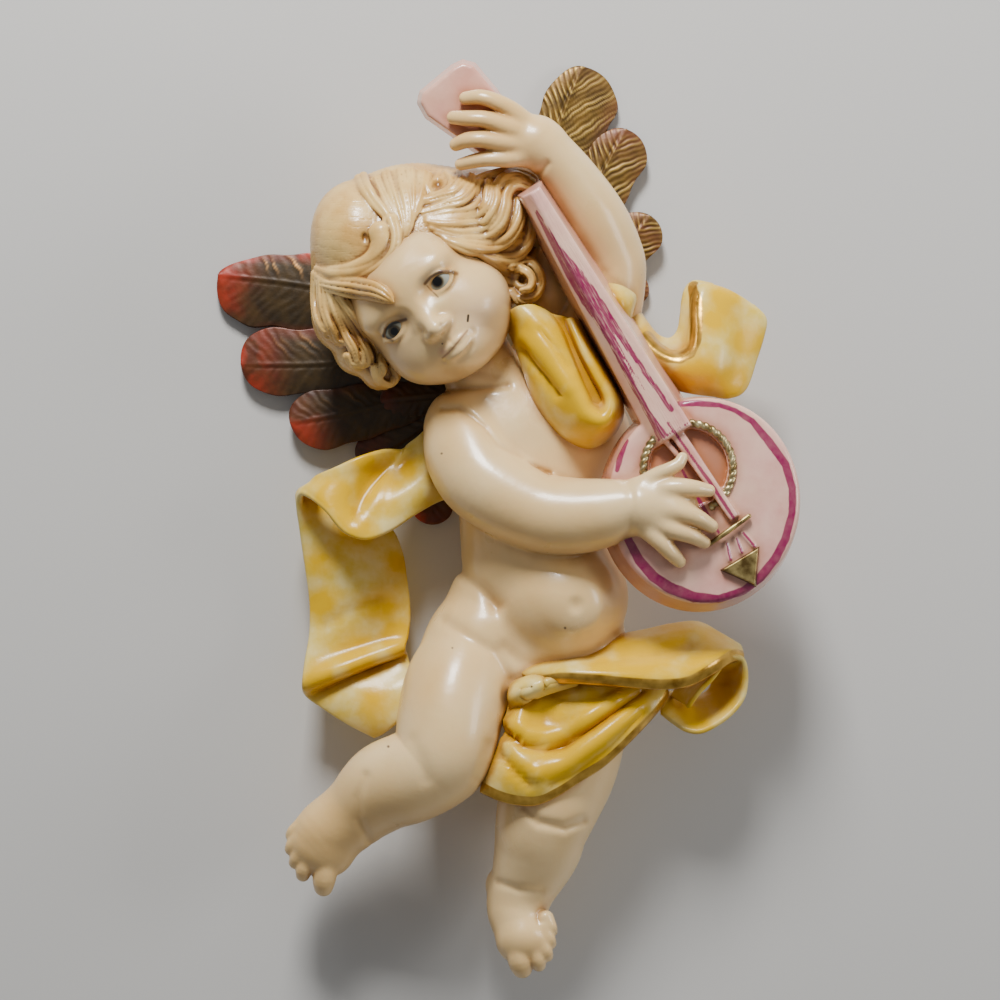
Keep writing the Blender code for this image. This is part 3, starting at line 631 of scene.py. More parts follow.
locks = {
    # the way of each lock over the head, its radius from root to tip, its number of strands
    "swept": [
        ([(-43.2, 73.8), (-36.9, 75.9), (-30.7, 78.1), (-27.5, 82.0), (-27.5, 85.0)], 2.2, 2.2, 3),
        ([(-42.4, 70.4), (-34.4, 72.8), (-28.2, 74.8), (-24.4, 79.0), (-23.8, 84.0)], 2.4, 2.4, 3),
        ([(-40.4, 68.3), (-31.9, 69.9), (-24.4, 71.5), (-20.9, 75.8), (-20.4, 81.5)], 2.6, 2.4, 2),
        ([(-40.5, 67.0), (-35.0, 66.4), (-28.2, 66.9), (-21.4, 68.3), (-17.4, 72.7), (-16.6, 78.1),
          (-17.0, 81.6)], 2.7, 2.4, 2),
        ([(-38.8, 65.0), (-33.5, 63.6), (-26.9, 62.9), (-20.2, 64.4), (-16.2, 68.6), (-13.9, 74.0),
          (-13.9, 79.0), (-11.4, 83.0), (-7.0, 84.2), (-3.0, 83.0)], 2.7, 1.9, 2),
        ([(-37.0, 62.4), (-32.0, 60.8), (-25.7, 60.0), (-18.4, 60.8), (-13.0, 65.2), (-10.8, 71.3),
          (-10.2, 77.0), (-7.4, 80.4), (-2.8, 79.6)], 2.7, 1.8, 2),
        ([(-34.6, 60.0), (-29.5, 58.4), (-23.2, 57.0), (-15.4, 57.3), (-9.2, 61.3), (-6.0, 68.1),
          (-5.6, 74.6)], 2.7, 2.3, 2),
        ([(-23.5, 56.4), (-15.7, 53.6), (-8.8, 53.6), (-3.4, 57.6), (-1.4, 63.0), (-1.8, 69.0)], 2.6, 2.0, 2),
        ([(-20.7, 54.6), (-13.8, 50.9), (-7.6, 50.0), (-2.2, 52.0), (0.4, 57.0), (0.2, 61.0)], 2.0, 1.6, 2),
    ],
    "crest": [
        ([(-24, 80.5), (-19, 83.4), (-13, 85.2), (-7, 86.0), (-1.5, 84.4), (1.6, 81.4)], 2.0, 1.5, 3),
        ([(-15, 78.5), (-11, 81.5), (-6, 82.4), (-1, 80.8), (1.0, 78.0)], 1.8, 1.5, 3),
    ],
    "curl": [
        ([(-9, 50.5), (-3, 52.0), (1.0, 48.5), (2.2, 43.6), (-0.6, 38.8), (-5.6, 37.8), (-9.0, 40.5)], 2.0,
         2.2, 3),
        ([(-7.4, 49.0), (-3.4, 48.6), (-1.0, 45.4), (-1.8, 42.0), (-5, 41)], 1.5, 1.6, 2),
    ],
    "top": [
        ([(-59.5, 82.5), (-56.8, 76.5), (-53.6, 70.5), (-50.8, 65.2)], 2.0, 1.6, 3),
        ([(-55.5, 84.4), (-53.2, 78.0), (-50.8, 71.5), (-49.3, 65.5), (-49.8, 60.6)], 2.3, 1.5, 3),
        ([(-50.8, 85.4), (-49.4, 79.0), (-47.8, 72.6), (-47.2, 66.6), (-48.4, 61.6)], 2.3, 1.4, 3),
        ([(-46.4, 85.6), (-45.8, 79.6), (-45.4, 73.6), (-45.8, 68.2)], 2.2, 1.5, 3),
        ([(-41.8, 85.2), (-42.4, 80.0), (-43.2, 75.0), (-44.8, 69.8)], 1.9, 1.4, 2),
        ([(-33.2, 84.6), (-31.0, 82.6), (-31.8, 79.2), (-35.6, 76.8), (-41, 75.4)], 1.7, 1.6, 2),
        ([(-39.6, 84.6), (-40.6, 80.4), (-38.8, 77.2)], 1.5, 1.3, 2),
    ],
    "roll": [
        ([(-65.2, 83.0), (-63.4, 79.4), (-60.4, 75.0), (-56.6, 70.8), (-53.2, 66.4)], 2.6, 1.7, 2),
        ([(-54.4, 67.6), (-52.4, 61.4), (-53.6, 54.6), (-58.8, 49.0), (-66, 45.4), (-73, 44.2),
          (-79.5, 45.6), (-82.4, 47.2)], 2.4, 1.6, 2),
        ([(-58.6, 63.0), (-57.6, 59.6), (-58.8, 55.0), (-62.4, 51.4), (-68.8, 48.8), (-76, 48.0),
          (-82.0, 49.4)], 4.2, 1.6, 1),
    ],
    "fringe": [
        ([(-80, 43.4), (-73, 42.4), (-66, 41.8), (-60, 41.0), (-55.8, 39.0), (-53.2, 36.6)], 1.9, 0.9, 4),
    ],
    "side": [
        ([(-82.0, 47), (-82.4, 38), (-81.4, 30.5), (-78.6, 26.0), (-76.4, 26.6)], 2.2, 1.8, 3),
        ([(-80.0, 44), (-79.5, 35.5), (-77.0, 28), (-74.2, 22.5), (-71.4, 21.6)], 2.3, 2.0, 3),
        ([(-78.0, 42), (-75.5, 33.5), (-72.0, 26), (-68.5, 19.8), (-67.0, 15.0)], 2.3, 2.0, 3),
        ([(-75.6, 40), (-71.5, 32.5), (-67, 25), (-63.6, 19), (-62.6, 14.8), (-64.6, 12.8)], 2.2, 1.8, 3),
        ([(-73, 38.5), (-68.0, 32), (-62.5, 24.5), (-58.5, 18), (-57.5, 12.5), (-58.5, 9)], 2.0, 2.2, 3),
        ([(-70.5, 16.5), (-68.4, 13.4), (-65, 14.0), (-64.8, 17.4)], 1.7, 1.4, 2),
        ([(-60, 12), (-58.6, 7.4), (-54.8, 6.0), (-52.4, 8.8), (-53.6, 12.4)], 1.9, 1.7, 3),
        ([(-78.8, 28), (-78.6, 24.2), (-76, 23.4), (-74.6, 25.8)], 1.6, 1.3, 2),
    ],
}


def hairDepth(across, up, overFace=False):
    masses = [mass[:2] for mass in hair["masses"]]
    if overFace:
        masses.append((head["centre"], hair["brow"]))
    depth = hair["nearest"]
    for (ca, cu, co), (ra, ru, ro) in masses:
        inside = 1 - ((across - ca) / ra) ** 2 - ((up - cu) / ru) ** 2
        if inside > 0:
            depth = max(depth, co + ro * math.sqrt(inside))
    return depth


lockShape = {
    "high": 0.92, "wide": 1.28, "groove": 0.24, "soft": 0.5, "sharp": 0.6,
    # the sunk root's share, depth and thinning, the tip's size
    "root": 0.3, "sink": 1.2, "rootThin": 0.5, "tip": 0.72,
    "twist": 0.09, "shift": 1.7,  # turn of the strands along a lock, and from one lock to the next
    "steps": 6, "middle": (-44, 52, 20.0), "margin": 1.2,
}


# a lock is a flattened limb whose surface is parted into strands,
# and each point keeps the part of the lock nearest it
def addLock(clay, way, first, last, strands, lift, seed, overFace, swell):
    count = len(way)
    rows = []
    for i, (across, up) in enumerate(way):
        share = i / (count - 1)
        root = max(1 - share / lockShape["root"], 0) if overFace == "root" else 0
        radius = (first + (last - first) * share) * (1 - lockShape["rootThin"] * root)
        radius *= lockShape["tip"] if share == 1 else 1
        radius += swell * math.sin(math.pi * share)
        depth = hairDepth(across, up, overFace) + lift - lockShape["sink"] * root
        rows.append((across, up, depth, radius))
    rows = smoothPath(rows, lockShape["steps"])
    middle = np.array(lockShape["middle"])
    reach = rows[:, 3:4] * 1.5
    where, axes = clay.block((rows[:, :3] - reach).min(0), (rows[:, :3] + reach).max(0), lockShape["margin"])
    if where is None:
        return
    ahead = np.gradient(rows[:, :3], axis=0)
    ahead /= np.linalg.norm(ahead, axis=1, keepdims=True)
    outward = rows[:, :3] - middle
    outward -= ahead * (outward * ahead).sum(1, keepdims=True)
    outward /= np.linalg.norm(outward, axis=1, keepdims=True)
    aside = np.cross(ahead, outward)
    best = phase = None
    for i in range(len(rows) - 1):
        along = rows[i + 1, :3] - rows[i, :3]
        length = max(float(along @ along), 1e-9)
        part = [axes[k] - np.float32(rows[i, k]) for k in range(3)]
        t = np.clip(sum(part[k] * np.float32(along[k] / length) for k in range(3)), 0, 1)
        gap = [part[k] - t * np.float32(along[k]) for k in range(3)]

        def toward(frames):
            return sum(gap[k] * (np.float32(frames[i, k]) + t * np.float32(frames[i + 1, k] - frames[i, k]))
                       for k in range(3))

        rise, wide, on = toward(outward), toward(aside), toward(ahead)
        radius = np.float32(rows[i, 3]) + t * np.float32(rows[i + 1, 3] - rows[i, 3])
        far = np.sqrt((rise / lockShape["high"]) ** 2 + (wide / lockShape["wide"]) ** 2 + on**2) - radius
        turn = np.arctan2(rise, wide)
        now = turn * strands + lockShape["twist"] * (i + t) + lockShape["shift"] * seed
        if best is None:
            best, phase, size = far, now, radius + 0 * far
        else:
            nearer = far < best
            best = np.where(nearer, far, best)
            phase = np.where(nearer, now, phase)
            size = np.where(nearer, radius, size)
    groove = 1 - np.abs(np.sin(phase)) ** lockShape["sharp"]
    clay.join(where, best * lockShape["high"] + size * lockShape["groove"] * groove, lockShape["soft"])


def makeHair():
    clay = Clay(hairClay["low"], hairClay["high"], cells["hair"])
    for centre, radii, soft in hair["masses"]:
        clay.egg(centre, radii, soft)
    addStrands(clay)
    for centre, radii in hair["hollows"]:
        clay.egg(centre, radii, hair["hollowSoft"], cut=True)
    seed = 0
    for family, rows in locks.items():
        for way, first, last, strands in rows:
            over, swell = hair["overFace"].get(family), hair["swell"].get(family, 0)
            addLock(clay, way, first, last, strands, hair["lifts"][family], seed, over, swell)
            seed += 1
    clay.egg(*hair["pit"], cut=True)
    clay.cutBelow(back["pocket"])
    finishClay(clay, "hair")


combing = {"crown": (-52.0, 60.0), "around": 46, "level": 3.4, "leftFrom": -56.0, "fade": 6, "depth": 0.34,
           "band": 2.5}


# the cap is combed: shallow grooves round the crown, and level ones on the left
def addStrands(clay):
    across, up, out = clay.grid()
    around = np.arctan2(up - combing["crown"][1], across - combing["crown"][0])
    leftSide = np.clip((combing["leftFrom"] - across) / combing["fade"], 0, 1)
    radial = np.sin(around * combing["around"] + 0.05 * out)
    level = np.sin(up * combing["level"] + 0.9 * np.sin(across * 0.22) + 0.5 * np.sin(out * 0.35))
    groove = radial * (1 - leftSide) + level * leftSide
    depth = combing["depth"] * (1 - 0.45 * leftSide)
    near = np.abs(clay.field) < combing["band"]
    ripple = (depth * (1 - np.sqrt(np.abs(groove)))).astype(np.float32)
    clay.field = np.where(near, clay.field + ripple, clay.field).astype(np.float32)


# Cloth: each sheet is rows of (across, up, out) points, made fine, creased along drawn lines and thickened.
def refine(rows, steps):
    rows = np.array(rows, float)
    first = np.array([smoothPath(row, steps) for row in rows])
    count, wide, _ = first.shape
    flat = smoothPath(first.reshape(count, -1), steps)
    return flat.reshape(-1, wide, 3)


def lineDistance(points, line):
    line = np.array(line, float)
    best = np.full(len(points), 1e9)
    for a, b in zip(line[:-1], line[1:]):
        ab = b - a
        t = np.clip(((points - a) @ ab) / max(ab @ ab, 1e-9), 0, 1)
        best = np.minimum(best, np.linalg.norm(points - a - t[:, None] * ab, axis=1))
    return best


def gridNormals(grid):
    down = np.gradient(grid, axis=0)
    along = np.gradient(grid, axis=1)
    normal = np.cross(down, along)
    normal /= np.maximum(np.linalg.norm(normal, axis=2, keepdims=True), 1e-9)
    if normal[..., 2].mean() < 0:
        normal = -normal
    return normal


def sideDistance(grid):
    stepDown = np.linalg.norm(np.diff(grid, axis=0), axis=2)
    stepAlong = np.linalg.norm(np.diff(grid, axis=1), axis=2)
    fromStart = np.vstack([np.zeros((1, grid.shape[1])), np.cumsum(stepDown, axis=0)])
    fromFirst = np.hstack([np.zeros((grid.shape[0], 1)), np.cumsum(stepAlong, axis=1)])
    return {
        "start": fromStart, "end": fromStart[-1:] - fromStart,
        "first": fromFirst, "last": fromFirst[:, -1:] - fromFirst,
    }


def sheetMesh(name, sheet, steps=6):
    grid = refine(sheet["rows"], sheet.get("steps", steps))
    shape = grid.shape
    normal = gridNormals(grid)
    for line, height, width in sheet.get("folds", []):
        far = lineDistance(grid[..., :2].reshape(-1, 2), line).reshape(shape[:2])
        grid = grid + normal * (height * np.exp(-((far / width) ** 2)))[..., None]
    normal = gridNormals(grid)
    sides = sideDistance(grid)
    hem = np.full(shape[:2], -9.0)
    for side, width in sheet.get("hems", {}).items():
        hem = np.maximum(hem, width - sides[side])
    if "gold" in sheet:
        line, reach = sheet["gold"]
        hem = np.maximum(hem, reach - lineDistance(grid[..., :2].reshape(-1, 2), line).reshape(shape[:2]))
    half = sheet["thickness"] / 2
    thin = np.minimum.reduce([sides[side] for side in sides])
    swell = half * (0.75 + 0.25 * np.clip(thin / 3, 0, 1))
    front = grid + normal * swell[..., None]
    rear = grid - normal * swell[..., None]
    count, wide = shape[:2]
    index = np.arange(count * wide).reshape(count, wide)
    points = [front.reshape(-1, 3), rear.reshape(-1, 3)]
    hems = [hem.ravel(), hem.ravel()]
    quads = [gridQuads(index), gridQuads(index)[:, turnOver] + count * wide]
    border = borderOf(index)
    inner = grid.copy()
    inner[0], inner[-1] = grid[1], grid[-2]
    inner[:, 0], inner[:, -1] = grid[:, 1], grid[:, -2]
    outward = (grid - inner).reshape(-1, 3)[border]
    flatNormal = normal.reshape(-1, 3)[border]
    outward -= flatNormal * (outward * flatNormal).sum(1, keepdims=True)
    outward /= np.maximum(np.linalg.norm(outward, axis=1, keepdims=True), 1e-9)
    edge = swell.ravel()[border][:, None]
    loops = [border]
    for angle in (50, 0, -50):
        turn = math.radians(angle)
        ring = grid.reshape(-1, 3)[border] + (outward * math.cos(turn) + flatNormal * math.sin(turn)) * edge
        loops.append(np.arange(len(border)) + sum(len(p) for p in points))
        points.append(ring)
        hems.append(hem.ravel()[border])
    loops.append(border + count * wide)
    for one, two in zip(loops[:-1], loops[1:]):
        quads.append(stripQuads(one, two))
    points, quads = np.vstack(points), np.vstack(quads)
    if np.cross(front[1, 0] - front[0, 0], front[0, 1] - front[0, 0]) @ normal[0, 0] < 0:
        quads = quads[:, ::-1]
    piece = makeMesh(name, points, quads)
    writeAttribute(piece, "hem", np.concatenate(hems))
    paintCloth(piece, points)


cloth = {
    "leftRibbon": {
        "thickness": 3.2,
        "rows": [
            [(-30, -3, 18), (-29, -12, 22), (-28, -24, 22), (-27, -35, 18)],
            [(-37, -8, 20), (-37, -17, 25), (-36, -28, 26), (-36, -37, 22)],
            [(-44, -14.5, 21), (-46, -23, 22), (-46, -34, 29), (-45, -42, 28)],
            [(-50, -19, 20), (-54, -27, 22), (-57, -38, 30), (-55, -48.5, 33)],
            [(-57, -19.5, 26), (-61, -28, 25), (-66, -40, 30), (-64, -51.5, 36)],
            [(-66, -22, 30), (-69, -29, 30), (-73, -39, 33), (-72, -48.5, 36)],
            [(-75, -26, 30), (-77, -30, 30), (-80, -35, 32), (-79.5, -40, 34)],
            [(-82.5, -30, 25), (-84, -32, 25), (-86, -33.6, 26), (-86.5, -35, 28)],
            [(-80, -34, 15), (-84, -35.5, 16), (-88, -36.5, 19), (-88.5, -38, 23)],
            [(-68, -40, 11), (-75, -42, 12), (-83, -44, 16), (-87.6, -46, 19)],
            [(-56, -47, 11), (-66, -49, 13), (-78, -52, 16.5), (-86.4, -54, 17)],
            [(-51, -56, 12), (-61, -58, 16), (-75, -61, 18.5), (-85, -64, 16)],
            [(-49, -67, 12), (-60, -69, 17), (-74, -72, 19), (-83.6, -75, 15)],
            [(-47.8, -79, 12), (-59, -80, 15), (-73, -83, 18), (-83.6, -87, 16)],
            [(-48.4, -88, 14), (-59, -90, 15), (-73, -94, 18), (-85.4, -98, 20)],
            [(-49.6, -93, 17), (-61, -97, 20), (-73, -101.5, 23), (-86.3, -106.5, 23)],
            [(-49, -95.5, 13), (-60, -99.5, 14), (-72, -104.5, 17), (-85, -110.5, 17)],
            [(-47.6, -100, 14), (-57, -105, 17), (-68, -110.5, 19.5), (-79.4, -114.8, 18)],
            [(-45, -104, 17), (-53, -110, 20), (-61, -116, 21), (-69.6, -121, 18.5)],
            [(-41, -107, 18), (-47, -114, 21), (-53, -121, 21.5), (-59.6, -126, 18)],
        ],
        "folds": [
            ([(-49.7, -19.7), (-56, -31), (-62, -42), (-66.5, -48.8)], -1.0, 2.2),
            ([(-78.8, -84.7), (-70, -79), (-58.9, -74)], -0.8, 2.4),
            ([(-76, -63), (-66, -66), (-56, -72)], 0.7, 3.5),
        ],
    },
    "chestSwag": {
        "thickness": 2.6,
        "rows": [
            [(-10.5, 28, 38), (-9.5, 32, 44), (-6, 34.5, 48), (-1, 35, 47), (3, 33.5, 41)],
            [(-8, 23, 39), (-5.5, 26.5, 46), (-1.5, 29, 50), (3.5, 30, 49), (8, 30, 42)],
            [(-5, 15, 40), (-2, 18, 48), (3, 21.5, 52.5), (8, 24, 51), (11.5, 25, 43)],
            [(-2.4, 7, 41), (1.5, 9, 49), (8, 13.5, 54.5), (12, 16.5, 52.5), (14, 18, 43)],
            [(0.5, -1, 42), (5, 0.5, 50), (12.5, 5.5, 56.5), (15.5, 9, 53.5), (16.5, 11, 43)],
            [(4.5, -8, 42), (9, -6, 50.5), (16, -0.5, 57.5), (18.5, 2.6, 54), (18.8, 5, 43)],
            [(11, -14.6, 42), (14, -11, 51), (19, -5.5, 58), (20.7, -1.8, 54), (20.6, 1.5, 43)],
            [(20, -17.4, 42), (20.5, -13, 51), (23.5, -8, 58), (23.2, -3.6, 54), (22.2, 0.6, 43)],
            [(27.6, -14, 41), (26.2, -11, 50.5), (26.4, -7.4, 57.5), (25, -3.4, 54), (23.4, 1, 43)],
            [(32, -7.5, 40), (30.5, -6, 49.5), (28.6, -3.6, 56.5), (26.6, -1, 53.5), (24.4, 2.4, 43)],
            [(32, -1, 38), (31, 0, 48), (28.2, 1.6, 55), (25.6, 2.6, 52.5), (23.4, 5, 43)],
            [(27.5, 8, 37), (26.8, 8.6, 47), (24, 9.2, 53.5), (21.5, 9.6, 51), (19.6, 11.5, 42)],
            [(22, 18, 36), (21, 18.6, 45), (18.6, 19, 51), (16.6, 19.4, 49), (15, 20.6, 41)],
            [(16.5, 29, 34), (15.5, 29.6, 42), (13.6, 30, 47), (12, 30, 45), (10.6, 30.6, 40)],
        ],
        "folds": [
            ([(-3.9, 19), (0, 13.5), (5, 7.5), (9.1, 2)], -1.8, 1.3),
            ([(-3, 24), (3, 17), (8, 11), (13, 4)], 0.6, 1.6),
            ([(2, 26), (8, 19), (12.4, 12)], -1.0, 1.2),
        ],
    },
    "swagBed": {
        "thickness": 3.0,
        "rows": [
            [(3, 33, 42), (8, 31, 43), (13, 30, 42)],
            [(7, 26, 45), (11, 24, 46), (16, 22, 45)],
            [(10, 16, 48), (14.5, 14, 49), (20, 13, 48)],
            [(13, 6, 50), (18, 4, 51), (24, 5, 50)],
            [(16, -3, 50.5), (22, -4, 51.5), (27, -2, 50)],
        ],
    },
    "rightRibbon": {
        "thickness": 2.8,
        "gold": ([(41.4, 23.3), (45.4, 18.6), (50, 15.9), (54.8, 15.3), (58.8, 17.3), (60.9, 22),
                  (61.2, 28.7), (60.9, 36.7), (59.8, 42)], 1.8),
        "rows": [
            [(32, 36, 25), (32.6, 33, 31), (33.6, 27, 35), (35.4, 19, 36), (38, 10, 32)],
            [(37.4, 34.5, 26), (37.6, 31.4, 32), (38, 26, 36.5), (40.4, 17.5, 37.5), (44, 7.5, 33)],
            [(41, 29.6, 27), (41.4, 26.4, 33), (42.2, 22, 38), (46, 14.5, 39.5), (51, 5, 34.5)],
            [(45.6, 24, 28), (46.2, 20.6, 33.5), (48, 17.4, 39.5), (53, 11.5, 41), (58.6, 3.2, 36)],
            [(50.6, 22.4, 29), (52, 17.8, 34), (54, 15.4, 41), (60, 10, 42), (66, 2.2, 37)],
            [(54, 25.6, 29), (57, 20, 34), (59.6, 18, 42), (66.5, 11, 42.5), (72.8, 1.4, 37)],
            [(55.2, 31.6, 29), (58.4, 27, 33.5), (61.6, 24.6, 41.5), (70.5, 15.5, 41), (78.6, 4.6, 35)],
            [(55.8, 37, 29), (58.8, 33.4, 33), (62, 31, 40), (73, 21.5, 38.5), (82.4, 15.4, 32)],
            [(57, 41.4, 29), (59.4, 38.6, 32), (62.6, 36.8, 38), (74.5, 28, 36), (85, 23.6, 30)],
            [(60, 44, 29.5), (61.6, 42.4, 32), (64.6, 41.6, 35.5), (75.6, 34.6, 34), (86, 30.4, 29)],
            [(66, 43, 28), (67.4, 42, 30), (69.4, 41.4, 32), (76.6, 38.2, 32), (82, 35, 29)],
        ],
        "folds": [([(71, 38), (69.5, 26), (67.5, 14)], 0.7, 4.0), ([(78, 33), (77, 22), (74, 8)], -0.6, 3.5)],
    },
    "armFlap": {
        "thickness": 2.4,
        "rows": [
            [(20, 41, 38), (21, 35, 40), (24, 26, 39)],
            [(25.6, 43, 42), (27, 38, 46), (30, 28, 43)],
            [(31.5, 42.4, 43), (31.4, 37.4, 47.5), (33, 29, 44)],
            [(36.6, 39.6, 39), (35, 36, 44), (34.8, 30, 42)],
            [(37.6, 37.4, 33), (36.4, 34.4, 38), (35.4, 30, 38)],
        ],
    },
    "hipWrap": {
        "thickness": 3.0,
        "hems": {"last": 3.0},
        "rows": [
            [(-9, -101.5, 34), (-7, -102.2, 40), (-4, -103, 44), (-1, -104.4, 46), (1, -106, 45)],
            [(2, -97.5, 34), (3, -99.5, 42), (4, -101.4, 47), (5.4, -103.4, 49.5), (6.6, -105.6, 48.5)],
            [(12, -96, 34), (12.4, -98.4, 43), (12.6, -100.6, 49), (13, -102.6, 52.5), (13.4, -105.4, 51.5)],
            [(23, -92.5, 33), (23.4, -96.4, 43), (23.8, -99.8, 50), (24.2, -103, 54), (24.6, -106, 53)],
            [(32.5, -88.8, 30), (34, -94.5, 41), (35.2, -99.6, 50), (36.2, -103.8, 54), (36.8, -107, 53)],
            [(42, -86.8, 28), (44, -93, 39), (46, -99.4, 48), (47.2, -104.4, 52.5), (47.8, -107.6, 51.5)],
            [(51, -84.8, 26.5), (53.4, -91.4, 37), (55.4, -98.2, 45.5), (56.8, -103, 50), (57.6, -106.4, 49)],
            [(61, -84, 25), (63, -89.4, 34), (64.6, -94.6, 42), (66, -98.4, 46.5), (67, -101.6, 46)],
            [(69, -88, 24), (70.2, -90.4, 31), (71.2, -92.8, 37), (72, -95, 41), (73, -97.8, 41)],
            [(76.4, -92.4, 24), (76.8, -93.4, 28), (77.2, -94.4, 32), (77.4, -95.4, 35), (77.4, -97, 36)],
        ],
        "folds": [
            ([(20, -98), (40, -97), (58, -93)], -0.9, 2.6), ([(30, -92.5), (46, -90.5), (60, -88)], 0.6, 2.2),
        ],
    },
    "hipCurl": {
        "thickness": 2.8,
        "rows": [
            [(73, -96, 41), (72, -97.6, 36), (69, -99, 29), (64, -100, 24)],
            [(77.8, -97.4, 38), (76.6, -99.6, 33), (72.8, -101.6, 26), (66.6, -102.4, 21)],
            [(79, -104, 37), (77.6, -105.4, 31), (73.4, -106, 24), (67, -106, 20)],
            [(78, -111, 37.5), (76, -110.6, 31), (71.6, -109.6, 25), (66, -108.6, 21)],
            [(74.4, -116.4, 39), (72.4, -114.4, 32), (68.6, -112, 26), (64, -110.4, 22)],
            [(68.8, -121, 40), (67.4, -117.4, 33), (64.8, -113.8, 27), (61.4, -111.4, 23)],
            [(62, -124.2, 40), (61.6, -119.6, 34), (60.2, -115, 28), (58, -112, 24)],
            [(56.4, -123.4, 39), (57, -119, 34), (57, -114.6, 29), (55.6, -111.6, 25)],
            [(52, -120.6, 37), (53, -117, 33), (53.6, -113.6, 29), (53, -110.8, 26)],
            [(47.5, -117, 35), (49, -114.4, 32), (50.4, -111.8, 29), (50.6, -109.8, 26)],
        ],
    },
    "innerCurl": {
        "thickness": 2.6,
        "rows": [
            [(70, -99.6, 42), (66, -103, 40), (60, -106, 36), (54, -107, 32)],
            [(66.4, -104.4, 43), (63, -106.4, 40), (58, -108, 35), (53, -108.6, 31)],
            [(61.6, -109.4, 43), (59.6, -110, 40), (56, -110, 35), (52.4, -109.8, 31)],
            [(57.6, -114.8, 42), (56.6, -113.6, 38), (54, -112, 34), (51.6, -110.8, 30)],
        ],
    },
    "hangingCloth": {
        "thickness": 3.0,
        "hems": {"last": 3.4},
        "rows": [
            [(-8.6, -110, 38), (-10, -119, 43), (-12.6, -129, 46), (-16.4, -138, 47), (-20, -146.4, 45)],
            [(-5, -109, 41), (-6, -119, 47), (-8, -130, 49.5), (-10.6, -140, 51), (-13.4, -149.4, 48.5)],
            [(-0.5, -108.4, 42.5), (-1.6, -119, 46), (-3, -130.6, 51), (-4.8, -141, 53), (-6.8, -151, 50)],
            [(5, -107.8, 43), (4.6, -119, 45), (3.4, -130.4, 50.5), (2, -141, 53.5), (0, -151.2, 50.6)],
            [(12, -107.4, 43.5), (12, -118, 46.5), (11, -128.4, 49), (9.6, -138.4, 53), (7.4, -148.4, 50.6)],
            [(20, -107.4, 43.5), (20, -116, 48.5), (19, -124.8, 51), (17.6, -133.6, 52.6), (16, -143, 50)],
            [(28, -107.6, 43), (28.4, -114, 47), (27.8, -121, 50), (27, -128.4, 51), (26, -136.4, 48.6)],
            [(36, -107.8, 42), (36.6, -112, 44.6), (36.6, -117, 46.6), (36.6, -122, 47.4), (36, -126.8, 46)],
            [(43, -107.4, 39.6), (43.6, -110, 41.4), (44, -112.8, 42.8), (44.4, -115.6, 43.2),
             (44, -118.2, 42)],
            [(48.6, -106.8, 37), (49, -107.8, 38), (49.2, -109, 38.6), (49.2, -110.2, 38.8),
             (48.8, -111.6, 38)],
        ],
        "folds": [
            ([(-10, -125), (-4.2, -130), (4.4, -131.3), (11.5, -129.5), (20.2, -123.8), (29.5, -117.4),
              (40.2, -109.5)], -2.6, 1.9),
            ([(-9.3, -121), (-3, -125.6), (4.6, -126.8), (12, -125), (22, -118.6), (31, -112.6)], 1.4, 2.0),
            ([(-9.3, -130), (-4.2, -136), (0.8, -140.3)], 1.2, 1.7),
            ([(-12, -134), (-7, -140), (-2, -144)], -1.4, 1.6),
            ([(2, -139), (12, -136), (24, -127.6), (37, -116.6)], 1.1, 2.2),
            ([(6, -144), (16, -139), (28, -129.6), (40, -117.6)], -1.0, 1.7),
            ([(3, -108), (10, -112.6), (20, -112.6), (30, -109)], -1.0, 2.0),
        ],
    },
    "knot": {
        "thickness": 3.0,
        "steps": 14,
        "rows": [
            [(15, -103.4, 45.6), (15.2, -104.8, 47.6), (15.4, -106.4, 45.6)],
            [(8, -102.8, 47.4), (8, -105.6, 50), (8.2, -108.4, 47.6)],
            [(2, -103.4, 47.6), (2, -107, 51), (2.4, -110.4, 48.4)],
            [(-3.4, -104.6, 46.4), (-4, -109, 50.4), (-3.4, -113, 47.4)],
            [(-8.6, -106.6, 42), (-9.4, -111.2, 46.2), (-8.8, -116, 43)],
        ],
        "folds": [
            ([(-1.3, -107.8), (-4.6, -108.8), (-5.1, -110.7), (-3.2, -112.1), (-0.3, -111.6)], -0.8, 0.5),
            ([(7.2, -103.6), (3.4, -105), (3.2, -107.8), (5.3, -106.4), (10.5, -105.4)], -0.8, 0.5),
        ],
    },
}


def makeCloth():
    for name, sheet in cloth.items():
        sheetMesh(name, sheet)
    report("cloth")


